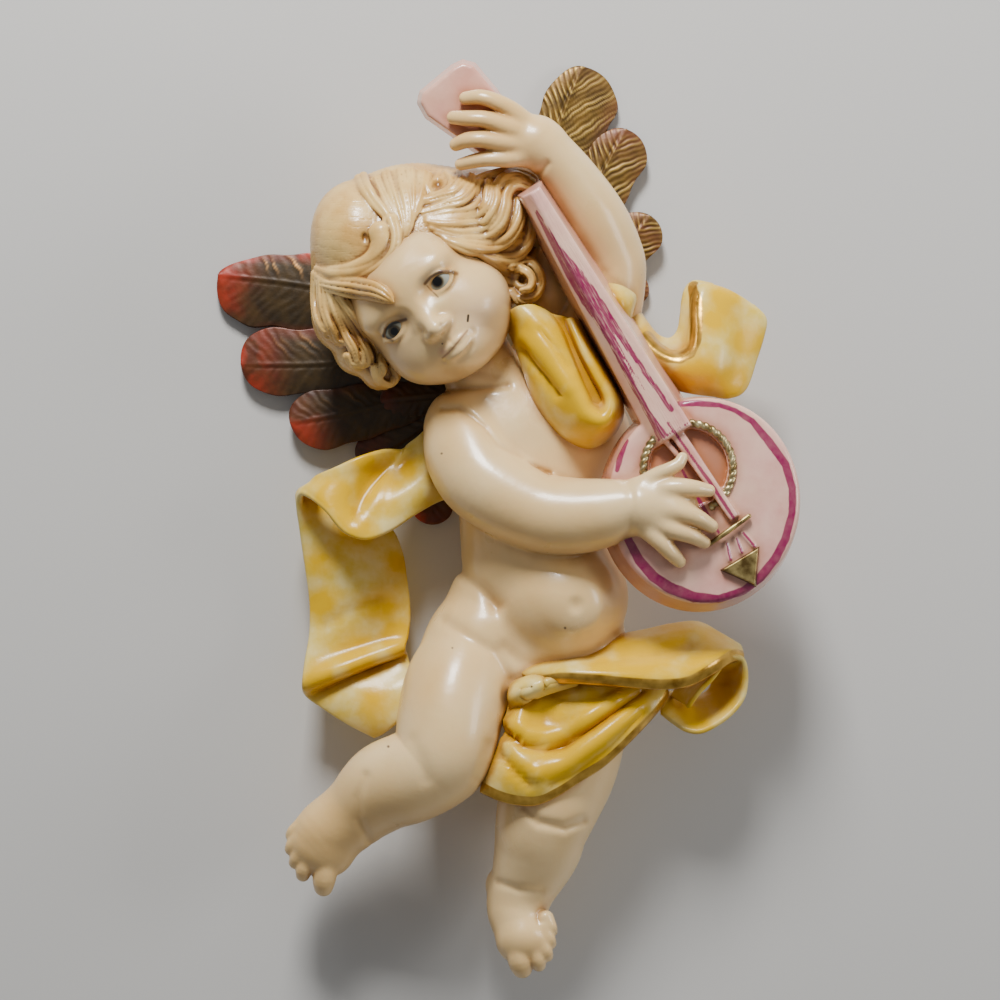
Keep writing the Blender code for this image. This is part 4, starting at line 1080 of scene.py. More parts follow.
# Banjo: flat-fronted plates with slanting sides, joined in clay and painted afterwards.
banjo = {
    "disc": {"centre": (63.9, -37.6), "radius": 35.7, "tall": 1.075, "front": 58.5, "rear": 42.0,
             "flare": 0.12, "shift": (-2.6, -1.6), "dome": 0.8, "rim": 1.6},
    "rope": {"radius": 16.8, "thick": 1.65, "twists": 40, "from": -62, "to": 208, "out": 58.6, "sides": 14},
    "hole": {"centre": (57.5, -25.5), "radius": 14.6, "floor": 56.2, "reach": 18, "top": 62},
    "neck": {"outline": [(-4.4, 76), (1.8, 80), (58.6, -9.4), (45, -17.6)], "front": 62.4, "rear": 36,
             "slope": 0.12,
             "bevel": {"line": [(2.2, 70.6), (48.8, -15.5)], "drop": 1.0}},
    "head": {
        "outline": [(-42.8, 111.6), (-42, 115), (-30.4, 124.6), (-27, 126.2), (-23.2, 125.2),
                    (-15.2, 115.6), (-3, 97), (-15, 89), (-40, 106.6)],
        "front": 47.8, "rear": 39.5, "slope": 0.2,
    },
    "strings": {"outline": [(51.2, -14), (54.8, -10.6), (76.2, -43.2), (73.4, -45.4)], "front": 60.6,
                "rear": 57, "slope": 0.1},
    "shortString": {"outline": [(48, -15.6), (49.8, -14.8), (54.4, -20.6), (53, -21.6)], "front": 60,
                    "rear": 57, "slope": 0.1},
    "tailpiece": {"outline": [(70.4, -63.7), (83.6, -55.8), (82.4, -69)], "front": 60.6, "rear": 57,
                  "slope": 0.25},
    "tailStrings": [
        [(77.8, -50, 58.4, 0.9), (82, -54.9, 58.4, 0.9)],
        [(75.3, -52, 58.4, 0.9), (77.2, -57.2, 58.4, 0.9)],
        [(71.6, -53.8, 58.4, 0.9), (73, -60, 58.4, 0.9)],
    ],
    "bridge": [(64.4, -54.7, 60.2, 0.9), (72.4, -49.2, 60.8, 1.0), (80.3, -43.5, 60.2, 0.9)],
}


def besideEdge(axes, start, edge):
    across, up = axes[0] - np.float32(start[0]), axes[1] - np.float32(start[1])
    return across * np.float32(edge[1]) - up * np.float32(edge[0])


def addPlate(clay, plate, soft=0.8):
    outline = np.array(plate["outline"], float)
    turn = np.sum(outline[:, 0] * np.roll(outline[:, 1], -1) - np.roll(outline[:, 0], -1) * outline[:, 1])
    if turn < 0:
        outline = outline[::-1]
    margin = plate["slope"] * (plate["front"] - plate["rear"])
    where, axes = clay.block(
        (*(outline.min(0) - margin), plate["rear"]), (*(outline.max(0) + margin), plate["front"]), soft + 1
    )
    found = np.maximum(axes[2] - np.float32(plate["front"]), np.float32(plate["rear"]) - axes[2])
    grow = np.float32(plate["slope"]) * (np.float32(plate["front"]) - axes[2])
    for a, b in zip(outline, np.roll(outline, -1, axis=0)):
        edge = (b - a) / np.linalg.norm(b - a)
        side = besideEdge(axes, a, edge)
        found = np.maximum(found, side - grow)
    if "bevel" in plate:
        (a, b), drop = plate["bevel"]["line"], plate["bevel"]["drop"]
        edge = (np.array(b) - a) / np.linalg.norm(np.array(b) - a)
        side = besideEdge(axes, a, edge)
        lean = side * np.float32(drop) + (axes[2] - np.float32(plate["front"]))
        found = np.maximum(found, lean / np.float32(math.hypot(drop, 1)))
    clay.join(where, found, soft)


banjoClay = {"low": (-48, -82, 30), "high": (104, 131, 65)}
trimClay = {"low": (62, -72, 55), "high": (86, -41, 64), "cell": 0.3, "quickCell": 0.6}


def makeBanjo():
    clay = Clay(banjoClay["low"], banjoClay["high"], cells["banjo"])
    disc = banjo["disc"]
    ca, cu = disc["centre"]
    reach = disc["radius"] + 9
    where, axes = clay.block((ca - reach, cu - reach, disc["rear"]),
                             (ca + reach, cu + reach, disc["front"]), 1)
    deep = np.float32(disc["front"]) - axes[2]
    share = deep / np.float32(disc["front"] - disc["rear"])
    far = np.sqrt((axes[0] - np.float32(ca) - share * disc["shift"][0]) ** 2
                  + ((axes[1] - np.float32(cu) - share * disc["shift"][1]) / np.float32(disc["tall"])) ** 2)
    side = far - np.float32(disc["radius"]) - deep * np.float32(disc["flare"])
    top = axes[2] - np.float32(disc["front"]) + disc["dome"] * np.clip(far / disc["radius"], 0, 1) ** 6
    rim = disc["rim"]
    corner = np.sqrt(np.maximum(side + rim, 0) ** 2 + np.maximum(top + rim, 0) ** 2) - rim
    found = np.maximum(np.where((side > -rim) & (top > -rim), corner, np.maximum(side, top)),
                       np.float32(disc["rear"]) - axes[2])
    clay.join(where, found, 0.5)
    hole = banjo["hole"]
    ca, cu = hole["centre"]
    reach = hole["reach"]
    low, high = (ca - reach, cu - reach, hole["floor"]), (ca + reach, cu + reach, hole["top"])
    where, axes = clay.block(low, high, 1)
    far = np.sqrt((axes[0] - np.float32(ca)) ** 2 + (axes[1] - np.float32(cu)) ** 2)
    clay.carve(where, np.maximum(far - np.float32(hole["radius"]), np.float32(hole["floor"]) - axes[2]), 0.8)
    for name in ("neck", "head", "strings", "shortString"):
        addPlate(clay, banjo[name])
    for string in banjo["tailStrings"]:
        clay.limb(string, 0.4)
    points, quads = clay.mesh()
    piece = makeMesh("banjoBody", points, quads)
    paintBanjo(piece, points)
    trim = Clay(trimClay["low"], trimClay["high"], trimClay["cell"])
    addPlate(trim, banjo["tailpiece"], 0.3)
    trim.limb(banjo["bridge"], 0.3)
    points, quads = trim.mesh()
    makeMesh("banjoTrim", points, quads)
    makeRosette()
    report("banjo")


# the gold rope round the sound hole, cut where the neck and the hand lie over it
def makeRosette():
    ca, cu = banjo["hole"]["centre"]
    rope = banjo["rope"]
    radius, sides = rope["radius"], rope["sides"]
    points = []
    for angle in np.radians(np.linspace(rope["from"], rope["to"], 700)):
        middle = np.array([ca + radius * math.cos(angle), cu + radius * math.sin(angle), rope["out"]])
        outward = np.array([math.cos(angle), math.sin(angle), 0])
        for k in range(sides):
            turn = 2 * math.pi * k / sides
            swell = rope["thick"] * (0.7 + 0.3 * abs(math.sin(angle * rope["twists"] / 2 + turn)))
            lift = np.array([0, 0, math.sin(turn) * swell * 0.8])
            points.append(middle + outward * math.cos(turn) * swell + lift)
    index = np.arange(len(points)).reshape(-1, sides)
    closeEnds(makeMesh("soundHoleRope", np.array(points), stripQuads(index[:-1], index[1:])))


# brush strokes on the banjo: lines with a width at each point
strokes = {
    "ring": [
        (34.6, -51.6, 1.52), (39.2, -60.3, 1.83), (44.2, -66, 1.98), (50.4, -70.3, 2.13), (59.8, -74, 1.98),
        (69, -74.6, 1.52),
        (78.4, -71.5, 1.52), (84.6, -66.5, 1.68), (90, -59.7, 1.68), (94, -52, 1.52), (96.5, -42.3, 1.37),
        (96.5, -33, 1.37), (94, -24.3, 1.52), (87.7, -15.5, 1.52), (81.5, -8, 1.22), (75.3, -4, 0.92),
        (69, -1.9, 0.92), (61, -1.2, 1.22), (54.2, -1.4, 1.07),
    ],
    "fragment": [(30.8, -26.4, 0.8), (32, -21, 1.2), (34.6, -15.2, 0.6)],
    "boardLeft": [
        (0.6, 70.6, 0.6), (5, 62.6, 1.2), (9.5, 55, 1.9), (14.5, 46.6, 2.6), (20, 38, 3.0), (25, 30.4, 2.6),
        (30, 20, 1.5), (36, 7, 1.1), (42, -4, 1.1), (47.4, -13, 1.9),
    ],
    "boardRight": [
        (10, 55.5, 1.0), (16.5, 47, 1.8), (22.4, 38.6, 2.1), (29, 29, 1.5), (36, 18, 1.1), (43.6, 7, 1.0),
        (51.2, -3.6, 1.0),
    ],
    "boardMiddle": [(18, 41, 0.9), (26, 29.6, 0.8), (33, 17, 0.5), (41, 3.6, 0.4)],
    "stringOne": [(50, -8.6, 0.6), (60, -23, 0.5), (66.2, -31.6, 0.7), (74.6, -44.3, 0.6)],
    "stringTwo": [(54, -24, 0.4), (61.5, -37.6, 0.8), (68.9, -49.7, 0.5)],
    "tailOne": [(78.3, -50, 0.5), (82.4, -54.9, 0.6)],
    "tailTwo": [(75.8, -52, 0.5), (77.7, -57.2, 0.6)],
    "tailThree": [(72.1, -53.8, 0.5), (73.5, -60, 0.6)],
    "nutLine": [(46.4, -15, 0.5), (57.2, -8.8, 0.4)],
}


def strokeDistance(points, stroke):
    stroke = np.array(stroke, float)
    best = np.full(len(points), 1e9)
    for a, b in zip(stroke[:-1], stroke[1:]):
        ab = b[:2] - a[:2]
        t = np.clip(((points - a[:2]) @ ab) / max(ab @ ab, 1e-9), 0, 1)
        far = np.linalg.norm(points - a[:2] - t[:, None] * ab, axis=1)
        best = np.minimum(best, far - a[2] - t * (b[2] - a[2]))
    return best


# how far ink may reach, and where the paint of the fingerboard, the sound hole and the side begins
banjoPaint = {
    "inkReach": 5.0, "inkFrom": 55.5,
    "board": {"top": (-1.3, 78.0), "foot": (51.8, -13.5), "half": 9, "length": 106, "from": 60.8},
    "grain": {"across": 1.5, "along": 0.12},
    "well": {"past": 0.6, "below": 0.35, "from": 50}, "side": {"inside": 12, "below": 2.2},
}


def paintBanjo(piece, points):
    ink = np.full(len(points), banjoPaint["inkReach"])
    for stroke in strokes.values():
        ink = np.minimum(ink, strokeDistance(points[:, :2], stroke))
    ink = np.where(points[:, 2] > banjoPaint["inkFrom"], ink, banjoPaint["inkReach"])
    writeAttribute(piece, "ink", np.clip(ink, -2, banjoPaint["inkReach"]))
    board, grain = banjoPaint["board"], banjoPaint["grain"]
    top, foot = np.array(board["top"]), np.array(board["foot"])
    way = (foot - top) / np.linalg.norm(foot - top)
    along = (points[:, :2] - top) @ way
    side = (points[:, :2] - top) @ np.array([-way[1], way[0]])
    place = np.column_stack([side * grain["across"], along * grain["along"], 0 * side])
    writeAttribute(piece, "grain", place)
    onBoard = (np.abs(side) < board["half"]) & (along < board["length"]) & (points[:, 2] > board["from"])
    writeAttribute(piece, "board", onBoard.astype(float))
    ca, cu = banjo["hole"]["centre"]
    far = np.hypot(points[:, 0] - ca, points[:, 1] - cu)
    disc, well, rim = banjo["disc"], banjoPaint["well"], banjoPaint["side"]
    inHole = (far < banjo["hole"]["radius"] + well["past"]) & (points[:, 2] < disc["front"] - well["below"])
    inHole &= points[:, 2] > well["from"]
    writeAttribute(piece, "well", inHole.astype(float))
    far = np.hypot(points[:, 0] - disc["centre"][0], points[:, 1] - disc["centre"][1])
    onSide = (far > disc["radius"] - rim["inside"]) & (points[:, 2] < disc["front"] - rim["below"])
    writeAttribute(piece, "side", onSide.astype(float))


# Wings: feathers are long leaves with a rib, combed by barbs, laid over each other from the back.
feathers = {
    "left": [
        # tip, root, half width above and below the rib, bend, depth of the middle
        {"tip": (-118.9, 47), "root": (-36, 30), "wide": (5.6, 18.6), "bend": 3.0, "depth": 3.0,
         "flare": 3.4, "edge": 1, "gilt": 1},
        {"tip": (-110.4, 13.6), "root": (-34, 20), "wide": (14.0, 12.0), "bend": -2.5, "depth": 4.4,
         "gilt": 0.4},
        {"tip": (-92, -8.4), "root": (-32, 7), "wide": (10.5, 12.5), "bend": -2.0, "depth": 5.6, "red": 0.75},
        {"tip": (-66, -24), "root": (-28, 2), "wide": (9, 9), "bend": -2.0, "depth": 4.2, "red": 0.5},
        {"tip": (-41, -46.4), "root": (-27, -3), "wide": (8, 8), "bend": 0.0, "depth": 3.0},
    ],
    "right": [
        {"tip": (18, 125.2), "root": (2, 60), "wide": (19.2, 9.6), "bend": -3.5, "depth": 3.0},
        {"tip": (34.4, 101.6), "root": (14, 48), "wide": (13, 9), "bend": -2.5, "depth": 4.4},
        {"tip": (43.6, 69), "root": (19, 32), "wide": (10, 9), "bend": -1.5, "depth": 5.6},
        {"tip": (40, 47), "root": (20, 22), "wide": (7, 6), "bend": 0.0, "depth": 3.0},
    ],
}
coverts = {
    "left": [
        {"tip": (-72, 30), "root": (-26, 22), "wide": (8, 8), "bend": 0, "depth": 5.6, "red": 0.15},
        {"tip": (-68, 14), "root": (-24, 12), "wide": (8, 8), "bend": 0, "depth": 6.2, "red": 0.15},
        {"tip": (-58, 0), "root": (-22, 4), "wide": (8, 8), "bend": 0, "depth": 6.0, "red": 0.2},
    ],
    "right": [
        {"tip": (20, 66), "root": (16, 30), "wide": (8, 8), "bend": 0, "depth": 6.0},
        {"tip": (30, 48), "root": (20, 20), "wide": (7, 7), "bend": 0, "depth": 6.2},
    ],
}


# the combing of each wing: distance between barbs, their depth, and the share of coloured edge
barbs = {
    "left": {"period": 4.0, "slope": 0.8, "depth": 0.1, "rib": 0.22, "edge": 0.2, "fine": 3},
    "right": {"period": 3.2, "slope": 1.2, "depth": 0.22, "rib": 0.45, "edge": 0.8, "fine": 1.5},
}


# a leaf narrows to its root, swells in its middle and stays between the wall and the casting
leaf = {"taper": 0.35, "swell": 1.15, "ribEnd": 9, "front": 8.9, "rear": 0.8, "under": 1.6, "lowest": 0.35}


def featherMesh(name, feather):
    tip, root = np.array(feather["tip"], float), np.array(feather["root"], float)
    along = (root - tip) / np.linalg.norm(root - tip)
    above = np.array([-along[1], along[0]])
    isLeft = name.startswith("wingLeft")
    if isLeft == (above[1] < 0):
        above = -above
    looks = barbs["left" if isLeft else "right"]
    length = np.linalg.norm(root - tip)
    stations, columns = ((110, 60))
    across = np.linspace(-1, 1, columns)
    upper, lower = feather["wide"]
    seed = sum(ord(letter) for letter in name)
    grid = np.zeros((stations, columns, 3))
    tint = np.zeros((stations, columns))
    gilt = np.zeros((stations, columns))
    for i, s in enumerate(np.linspace(0, 1, stations) ** 1.25):
        reach = s * length
        rounding = math.sqrt(1 - (1 - min(reach / (0.9 * max(upper, lower)), 1)) ** 2)
        taper = 1 - leaf["taper"] * s**1.5
        middle = tip + along * reach + above * feather["bend"] * math.sin(math.pi * s)
        wide = np.where(across > 0, upper * (1 + feather.get("flare", 0) * s), lower) * rounding * taper
        lobe = 0.03 * math.sin(reach * 0.42 + seed)
        side = across * wide
        flat = middle + (side * (1 + lobe * np.abs(across) ** 4))[:, None] * above
        phase = (reach + looks["slope"] * np.abs(side)) * 2 * math.pi / looks["period"]
        phase = phase + 1.1 * math.sin(reach * 0.33 + seed)
        phase = phase + 0.8 * np.sin(side * 0.5 + 2 * seed) + 0.5 * np.sin(reach * 0.9 - side * 0.7)
        barb = np.sin(phase) * (0.65 + 0.35 * np.sin(reach * 0.6 + side * 0.45 + seed))
        rib = looks["rib"] * (np.exp(-((side / 0.8) ** 2)) - 0.7 * np.exp(-(((side + 1.4) / 0.6) ** 2)))
        comb = looks["depth"] * barb * np.clip(np.abs(side) / 1.6, 0, 1) * rounding
        grid[i, :, :2] = flat
        rib = rib * min(1, reach / leaf["ribEnd"])
        grid[i, :, 2] = feather["depth"] + leaf["swell"] * (1 - across**2) + rib + comb
        sideTint = np.clip((across - 0.6) * 3, 0, 1) * feather.get("edge", looks["edge"])
        sideTint = sideTint + np.clip((-across - 0.85) * 5, 0, 1) * looks["edge"]
        tint[i] = np.maximum(math.exp(-((reach / 10) ** 2)), sideTint) * feather.get("red", 1)
        if isLeft:
            strip = np.exp(-(((across - 0.62) / 0.26) ** 2)) * min(max((reach - 10) / 10, 0), 1)
            strip = strip * feather.get("gilt", 0.15)
        else:
            strip = 0.85
        gilt[i] = np.clip(barb, 0, 1) ** looks["fine"] * strip
    grid[..., 2] = np.clip(grid[..., 2], leaf["rear"], leaf["front"])
    index = np.arange(stations * columns).reshape(stations, columns)
    border = borderOf(index)
    rear = grid.reshape(-1, 3)[border]
    rear[:, 2] = np.maximum(feather["depth"] - leaf["under"], leaf["lowest"])
    ring = np.arange(len(border)) + stations * columns
    quads = np.vstack([gridQuads(index), stripQuads(border, ring)])
    piece = makeMesh(name, np.vstack([grid.reshape(-1, 3), rear]), quads)
    for title, values in (("tint", tint), ("gilt", gilt)):
        writeAttribute(piece, title, np.concatenate([values.ravel(), values.ravel()[border]]))
    closeEnds(piece)


def makeWings():
    for side, title in (("left", "wingLeft"), ("right", "wingRight")):
        for i, feather in enumerate(feathers[side]):
            featherMesh(f"{title}Feather{i + 1}", feather)
        for i, feather in enumerate(coverts[side]):
            featherMesh(f"{title}Covert{i + 1}", feather)
    report("wings")


# Hollows: how much other surface lies close in front of each point, for the patina that gathers there.
wear = {"cell": 1.3, "spread": 1.7, "reach": 2.0, "fineRounds": 6}


def blur(field, spread):
    steps = int(math.ceil(spread * 3))
    weights = np.exp(-0.5 * (np.arange(-steps, steps + 1) / spread) ** 2)
    weights /= weights.sum()
    for axis in range(3):
        total = np.zeros_like(field)
        length = field.shape[axis]
        for shift, weight in zip(range(-steps, steps + 1), weights):
            to = [slice(None)] * 3
            source = [slice(None)] * 3
            to[axis] = slice(max(0, -shift), min(length, length - shift))
            source[axis] = slice(max(0, shift), min(length, length + shift))
            total[tuple(to)] += weight * field[tuple(source)]
        field = total
    return field


def pointData(piece):
    mesh = piece.data
    points = np.empty(len(mesh.vertices) * 3, np.float32)
    normals = np.empty(len(mesh.vertices) * 3, np.float32)
    mesh.vertices.foreach_get("co", points)
    mesh.vertex_normals.foreach_get("vector", normals)
    areas = np.empty(len(mesh.polygons), np.float32)
    mesh.polygons.foreach_get("area", areas)
    ends = np.empty(len(mesh.loops), np.int32)
    mesh.loops.foreach_get("vertex_index", ends)
    counts = np.empty(len(mesh.polygons), np.int32)
    mesh.polygons.foreach_get("loop_total", counts)
    share = np.repeat(areas / counts, counts)
    area = np.bincount(ends, share, len(mesh.vertices))
    return points.reshape(-1, 3) / mm, normals.reshape(-1, 3), area / mm**2


def addWear():
    data = {name: pointData(piece) for name, piece in made.items()}
    low = np.min([points.min(0) for points, _, _ in data.values()], axis=0) - 6
    high = np.max([points.max(0) for points, _, _ in data.values()], axis=0) + 6
    cell = wear["cell"]
    count = np.ceil((high - low) / cell).astype(int) + 1
    field = np.zeros(count, np.float32).ravel()
    for points, _, area in data.values():
        spot = np.round((points - low) / cell).astype(int)
        field += np.bincount(np.ravel_multi_index(spot.T, count), area, field.size).astype(np.float32)
    field = blur(field.reshape(count), wear["spread"] / cell) / cell**3
    flat = math.exp(-0.5 * (wear["reach"] / wear["spread"]) ** 2) / (wear["spread"] * math.sqrt(2 * math.pi))
    for name, (points, normals, _) in data.items():
        place = (points + normals * wear["reach"] - low) / cell
        first = np.floor(place).astype(int)
        part = place - first
        value = 0
        for corner in np.ndindex(2, 2, 2):
            weight = np.prod(np.where(corner, part, 1 - part), axis=1)
            value = value + weight * field[tuple((first + corner).T)]
        writeAttribute(made[name], "hollow", value / flat - 1)
        writeAttribute(made[name], "groove", fineGrooves(made[name], points, normals))
    report("wear")


# how far each point lies below its neighbours, evened out over a few rounds
def fineGrooves(piece, points, normals):
    ends = np.empty(len(piece.data.edges) * 2, np.int32)
    piece.data.edges.foreach_get("vertices", ends)
    a, b = ends.reshape(-1, 2).T
    size = len(points)
    degree = np.maximum(np.bincount(a, minlength=size) + np.bincount(b, minlength=size), 1)
    gap = points[b] - points[a]
    length = np.maximum(np.linalg.norm(gap, axis=1), 1e-6)
    rise = np.bincount(a, (gap * normals[a]).sum(1) / length, size)
    rise += np.bincount(b, -(gap * normals[b]).sum(1) / length, size)
    value = rise / degree
    for _ in range(wear["fineRounds"]):
        value = (value + (np.bincount(a, value[b], size) + np.bincount(b, value[a], size)) / degree) / 2
    return value


# Materials
def setInput(tree, socket, value):
    if isinstance(value, bpy.types.NodeSocket):
        tree.links.new(value, socket)
    else:
        socket.default_value = value


def addNode(tree, kind, inputs=None, **settings):
    node = tree.nodes.new(kind)
    for name, value in settings.items():
        setattr(node, name, value)
    for key, value in (inputs or {}).items():
        setInput(tree, node.inputs[key], value)
    return node


def mixColours(tree, share, first, second):
    node = addNode(tree, "ShaderNodeMix", data_type="RGBA")
    for index, value in ((0, share), (6, first), (7, second)):
        setInput(tree, node.inputs[index], value)
    return node.outputs[2]


def mapTo(tree, value, low, high, toLow=0.0, toHigh=1.0):
    node = addNode(tree, "ShaderNodeMapRange", {0: value, 1: low, 2: high, 3: toLow, 4: toHigh})
    return node.outputs[0]


def combine(tree, operation, first, second=0.0):
    return addNode(tree, "ShaderNodeMath", {0: first, 1: second}, operation=operation).outputs[0]


def vector(tree, operation, first, second=(0, 0, 0), output=0):
    return addNode(tree, "ShaderNodeVectorMath", {0: first, 1: second}, operation=operation).outputs[output]


def attribute(tree, name, output="Fac"):
    return addNode(tree, "ShaderNodeAttribute", attribute_name=name).outputs[output]


def colour(code):
    parts = [int(code[i : i + 2], 16) / 255 for i in (0, 2, 4)]
    return (*[(p / 12.92 if p <= 0.04045 else ((p + 0.055) / 1.055) ** 2.4) for p in parts], 1)


def startGroup(name, inputs, outputs):
    tree = bpy.data.node_groups.new(name, "ShaderNodeTree")
    for title, kind, value in inputs:
        socket = tree.interface.new_socket(title, in_out="INPUT", socket_type=kind)
        socket.default_value = value
    for title, kind in outputs:
        tree.interface.new_socket(title, in_out="OUTPUT", socket_type=kind)
    return tree, addNode(tree, "NodeGroupInput").outputs, addNode(tree, "NodeGroupOutput").inputs


def useGroup(tree, name, inputs=None):
    node = addNode(tree, "ShaderNodeGroup", node_tree=bpy.data.node_groups[name])
    for key, value in (inputs or {}).items():
        setInput(tree, node.inputs[key], value)
    return node.outputs


numberSocket, colourSocket, vectorSocket = "NodeSocketFloat", "NodeSocketColor", "NodeSocketVector"


# soft cloudy patches: a value from 0 to 1 that changes over the object
def makeMottle():
    tree, given, wanted = startGroup(
        "mottle", [("Size", numberSocket, 12.0), ("Low", numberSocket, 0.4), ("High", numberSocket, 0.6),
                   ("Detail", numberSocket, 4.0)],
        [("Value", numberSocket)],
    )
    place = addNode(tree, "ShaderNodeTexCoord").outputs["Object"]
    scale = combine(tree, "DIVIDE", 1000.0, given["Size"])
    noise = addNode(tree, "ShaderNodeTexNoise", {"Vector": place, "Scale": scale, "Detail": given["Detail"]})
    value = addNode(tree, "ShaderNodeMapRange", {0: noise.outputs["Fac"], 1: given["Low"], 2: given["High"]})
    tree.links.new(value.outputs[0], wanted["Value"])


# antiquing wash left in hollows and grooves, uneven and thinner on open surfaces
def makePatina():
    tree, given, wanted = startGroup(
        "patina",
        [("Colour", colourSocket, (1, 1, 1, 1)), ("Wash", colourSocket, (0.4, 0.2, 0.05, 1)),
         ("Hollow", numberSocket, 1.0),
         ("Groove", numberSocket, 1.0), ("Most", numberSocket, 0.8)],
        [("Colour", colourSocket)],
    )
    uneven = clouds(tree, 9.0, 0.3, 0.7)
    hollow = combine(tree, "MULTIPLY", mapTo(tree, attribute(tree, "hollow"), 0.1, 1.6), given["Hollow"])
    groove = combine(tree, "MULTIPLY", mapTo(tree, attribute(tree, "groove"), 0.012, 0.16), given["Groove"])
    both = combine(tree, "ADD", hollow, groove)
    both = combine(tree, "MULTIPLY", both, mapTo(tree, uneven, 0.0, 1.0, 0.65, 1.25))
    mask = combine(tree, "MINIMUM", both, given["Most"])
    tree.links.new(mixColours(tree, mask, given["Colour"], given["Wash"]), wanted["Colour"])


# small unevenness of brushed paint
def makeBrushed():
    tree, given, wanted = startGroup(
        "brushed", [("Size", numberSocket, 1.2), ("Depth", numberSocket, 0.2)], [("Height", numberSocket)]
    )
    value = clouds(tree, given["Size"], 0.2, 0.8)
    tree.links.new(combine(tree, "MULTIPLY", value, given["Depth"]), wanted["Height"])


# one round spot in drawing millimetres
def makeSpot():
    tree, given, wanted = startGroup(
        "spot",
        [("Centre", vectorSocket, (0, 0, 0)), ("Stretch", vectorSocket, (1, 1, 0)),
         ("Radius", numberSocket, 1.0), ("Soft", numberSocket, 0.2)],
        [("Mask", numberSocket)],
    )
    gap = vector(tree, "SUBTRACT", attribute(tree, "seen", "Vector"), given["Centre"])
    gap = vector(tree, "MULTIPLY", gap, given["Stretch"])
    far = vector(tree, "LENGTH", gap, output="Value")
    inner = combine(tree, "SUBTRACT", given["Radius"], given["Soft"])
    outer = combine(tree, "ADD", given["Radius"], given["Soft"])
    value = addNode(tree, "ShaderNodeMapRange", {0: far, 1: inner, 2: outer, 3: 1.0, 4: 0.0})
    tree.links.new(value.outputs[0], wanted["Mask"])


# one straight brush line in drawing millimetres
def makeLine():
    tree, given, wanted = startGroup(
        "line",
        [("From", vectorSocket, (0, 0, 0)), ("To", vectorSocket, (1, 0, 0)),
         ("Width", numberSocket, 0.5), ("Soft", numberSocket, 0.2)],
        [("Mask", numberSocket)],
    )
    flat = vector(tree, "MULTIPLY", attribute(tree, "seen", "Vector"), (1, 1, 0))
    along = vector(tree, "SUBTRACT", given["To"], given["From"])
    part = vector(tree, "SUBTRACT", flat, given["From"])
    share = combine(tree, "DIVIDE", vector(tree, "DOT_PRODUCT", part, along, "Value"),
                    vector(tree, "DOT_PRODUCT", along, along, "Value"))
    share = addNode(tree, "ShaderNodeClamp", {0: share}).outputs[0]
    reach = addNode(tree, "ShaderNodeVectorMath", {0: along, "Scale": share}, operation="SCALE").outputs[0]
    far = vector(tree, "LENGTH", vector(tree, "SUBTRACT", part, reach), output="Value")
    inner = combine(tree, "SUBTRACT", given["Width"], given["Soft"])
    outer = combine(tree, "ADD", given["Width"], given["Soft"])
    value = addNode(tree, "ShaderNodeMapRange", {0: far, 1: inner, 2: outer, 3: 1.0, 4: 0.0})
    tree.links.new(value.outputs[0], wanted["Mask"])


def clouds(tree, size, low, high):
    return useGroup(tree, "mottle", {"Size": size, "Low": low, "High": high})["Value"]


def antique(tree, base, wash, hollow, groove, most):
    inputs = {"Colour": base, "Wash": colour(wash), "Hollow": hollow, "Groove": groove, "Most": most}
    return useGroup(tree, "patina", inputs)["Colour"]


def brushMarks(tree, size):
    return useGroup(tree, "brushed", {"Size": size, "Depth": 0.5})["Height"]


def startMaterial(name, roughness, coat=0.0, metallic=0.0):
    material = bpy.data.materials.new(name)
    material.use_nodes = True
    tree = material.node_tree
    shader = tree.nodes["Principled BSDF"]
    shader.inputs["Roughness"].default_value = roughness
    shader.inputs["Metallic"].default_value = metallic
    shader.inputs["Coat Weight"].default_value = coat
    shader.inputs["Coat Roughness"].default_value = 0.12
    return material, tree, shader


def addBump(tree, shader, height, strength=0.3, distance=0.0003):
    bump = addNode(tree, "ShaderNodeBump", {"Height": height, "Strength": strength, "Distance": distance})
    tree.links.new(bump.outputs[0], shader.inputs["Normal"])


def paintOver(tree, base, layers):
    for mask, code, most in layers:
        base = mixColours(tree, combine(tree, "MULTIPLY", mask, most), base, colour(code))
    return base


skin = {
    "base": "EBCB94", "warm": "DEB574", "wash": "9C6412",
    "specks": [((-55, -130), 0.5), ((11.3, -85.5), 0.45), ((-35, -20), 0.4), ((-31, -93), 0.35),
               ((-26, -176), 0.4)],
}


def skinMaterial(name, paint=None):
    material, tree, shader = startMaterial(name, 0.3, 0.2)
    patches = clouds(tree, 46.0, 0.35, 0.68)
    base = mixColours(tree, patches, colour(skin["base"]), colour(skin["warm"]))
    if paint:
        base = paintOver(tree, base, paint(tree))
    washed = antique(tree, base, skin["wash"], 0.46, 0.6, 0.72)
    specks = spotLayers(tree, [(place, radius, 0.2, "4A3222", 0.85) for place, radius in skin["specks"]])
    tree.links.new(paintOver(tree, washed, specks), shader.inputs["Base Color"])
    gloss = clouds(tree, 20.0, 0.3, 0.7)
    tree.links.new(mapTo(tree, gloss, 0, 1, 0.26, 0.38), shader.inputs["Roughness"])
    addBump(tree, shader, brushMarks(tree, 3.2))
    shader.inputs["Subsurface Weight"].default_value = 0.06
    shader.inputs["Subsurface Radius"].default_value = (0.004, 0.002, 0.001)
    return material


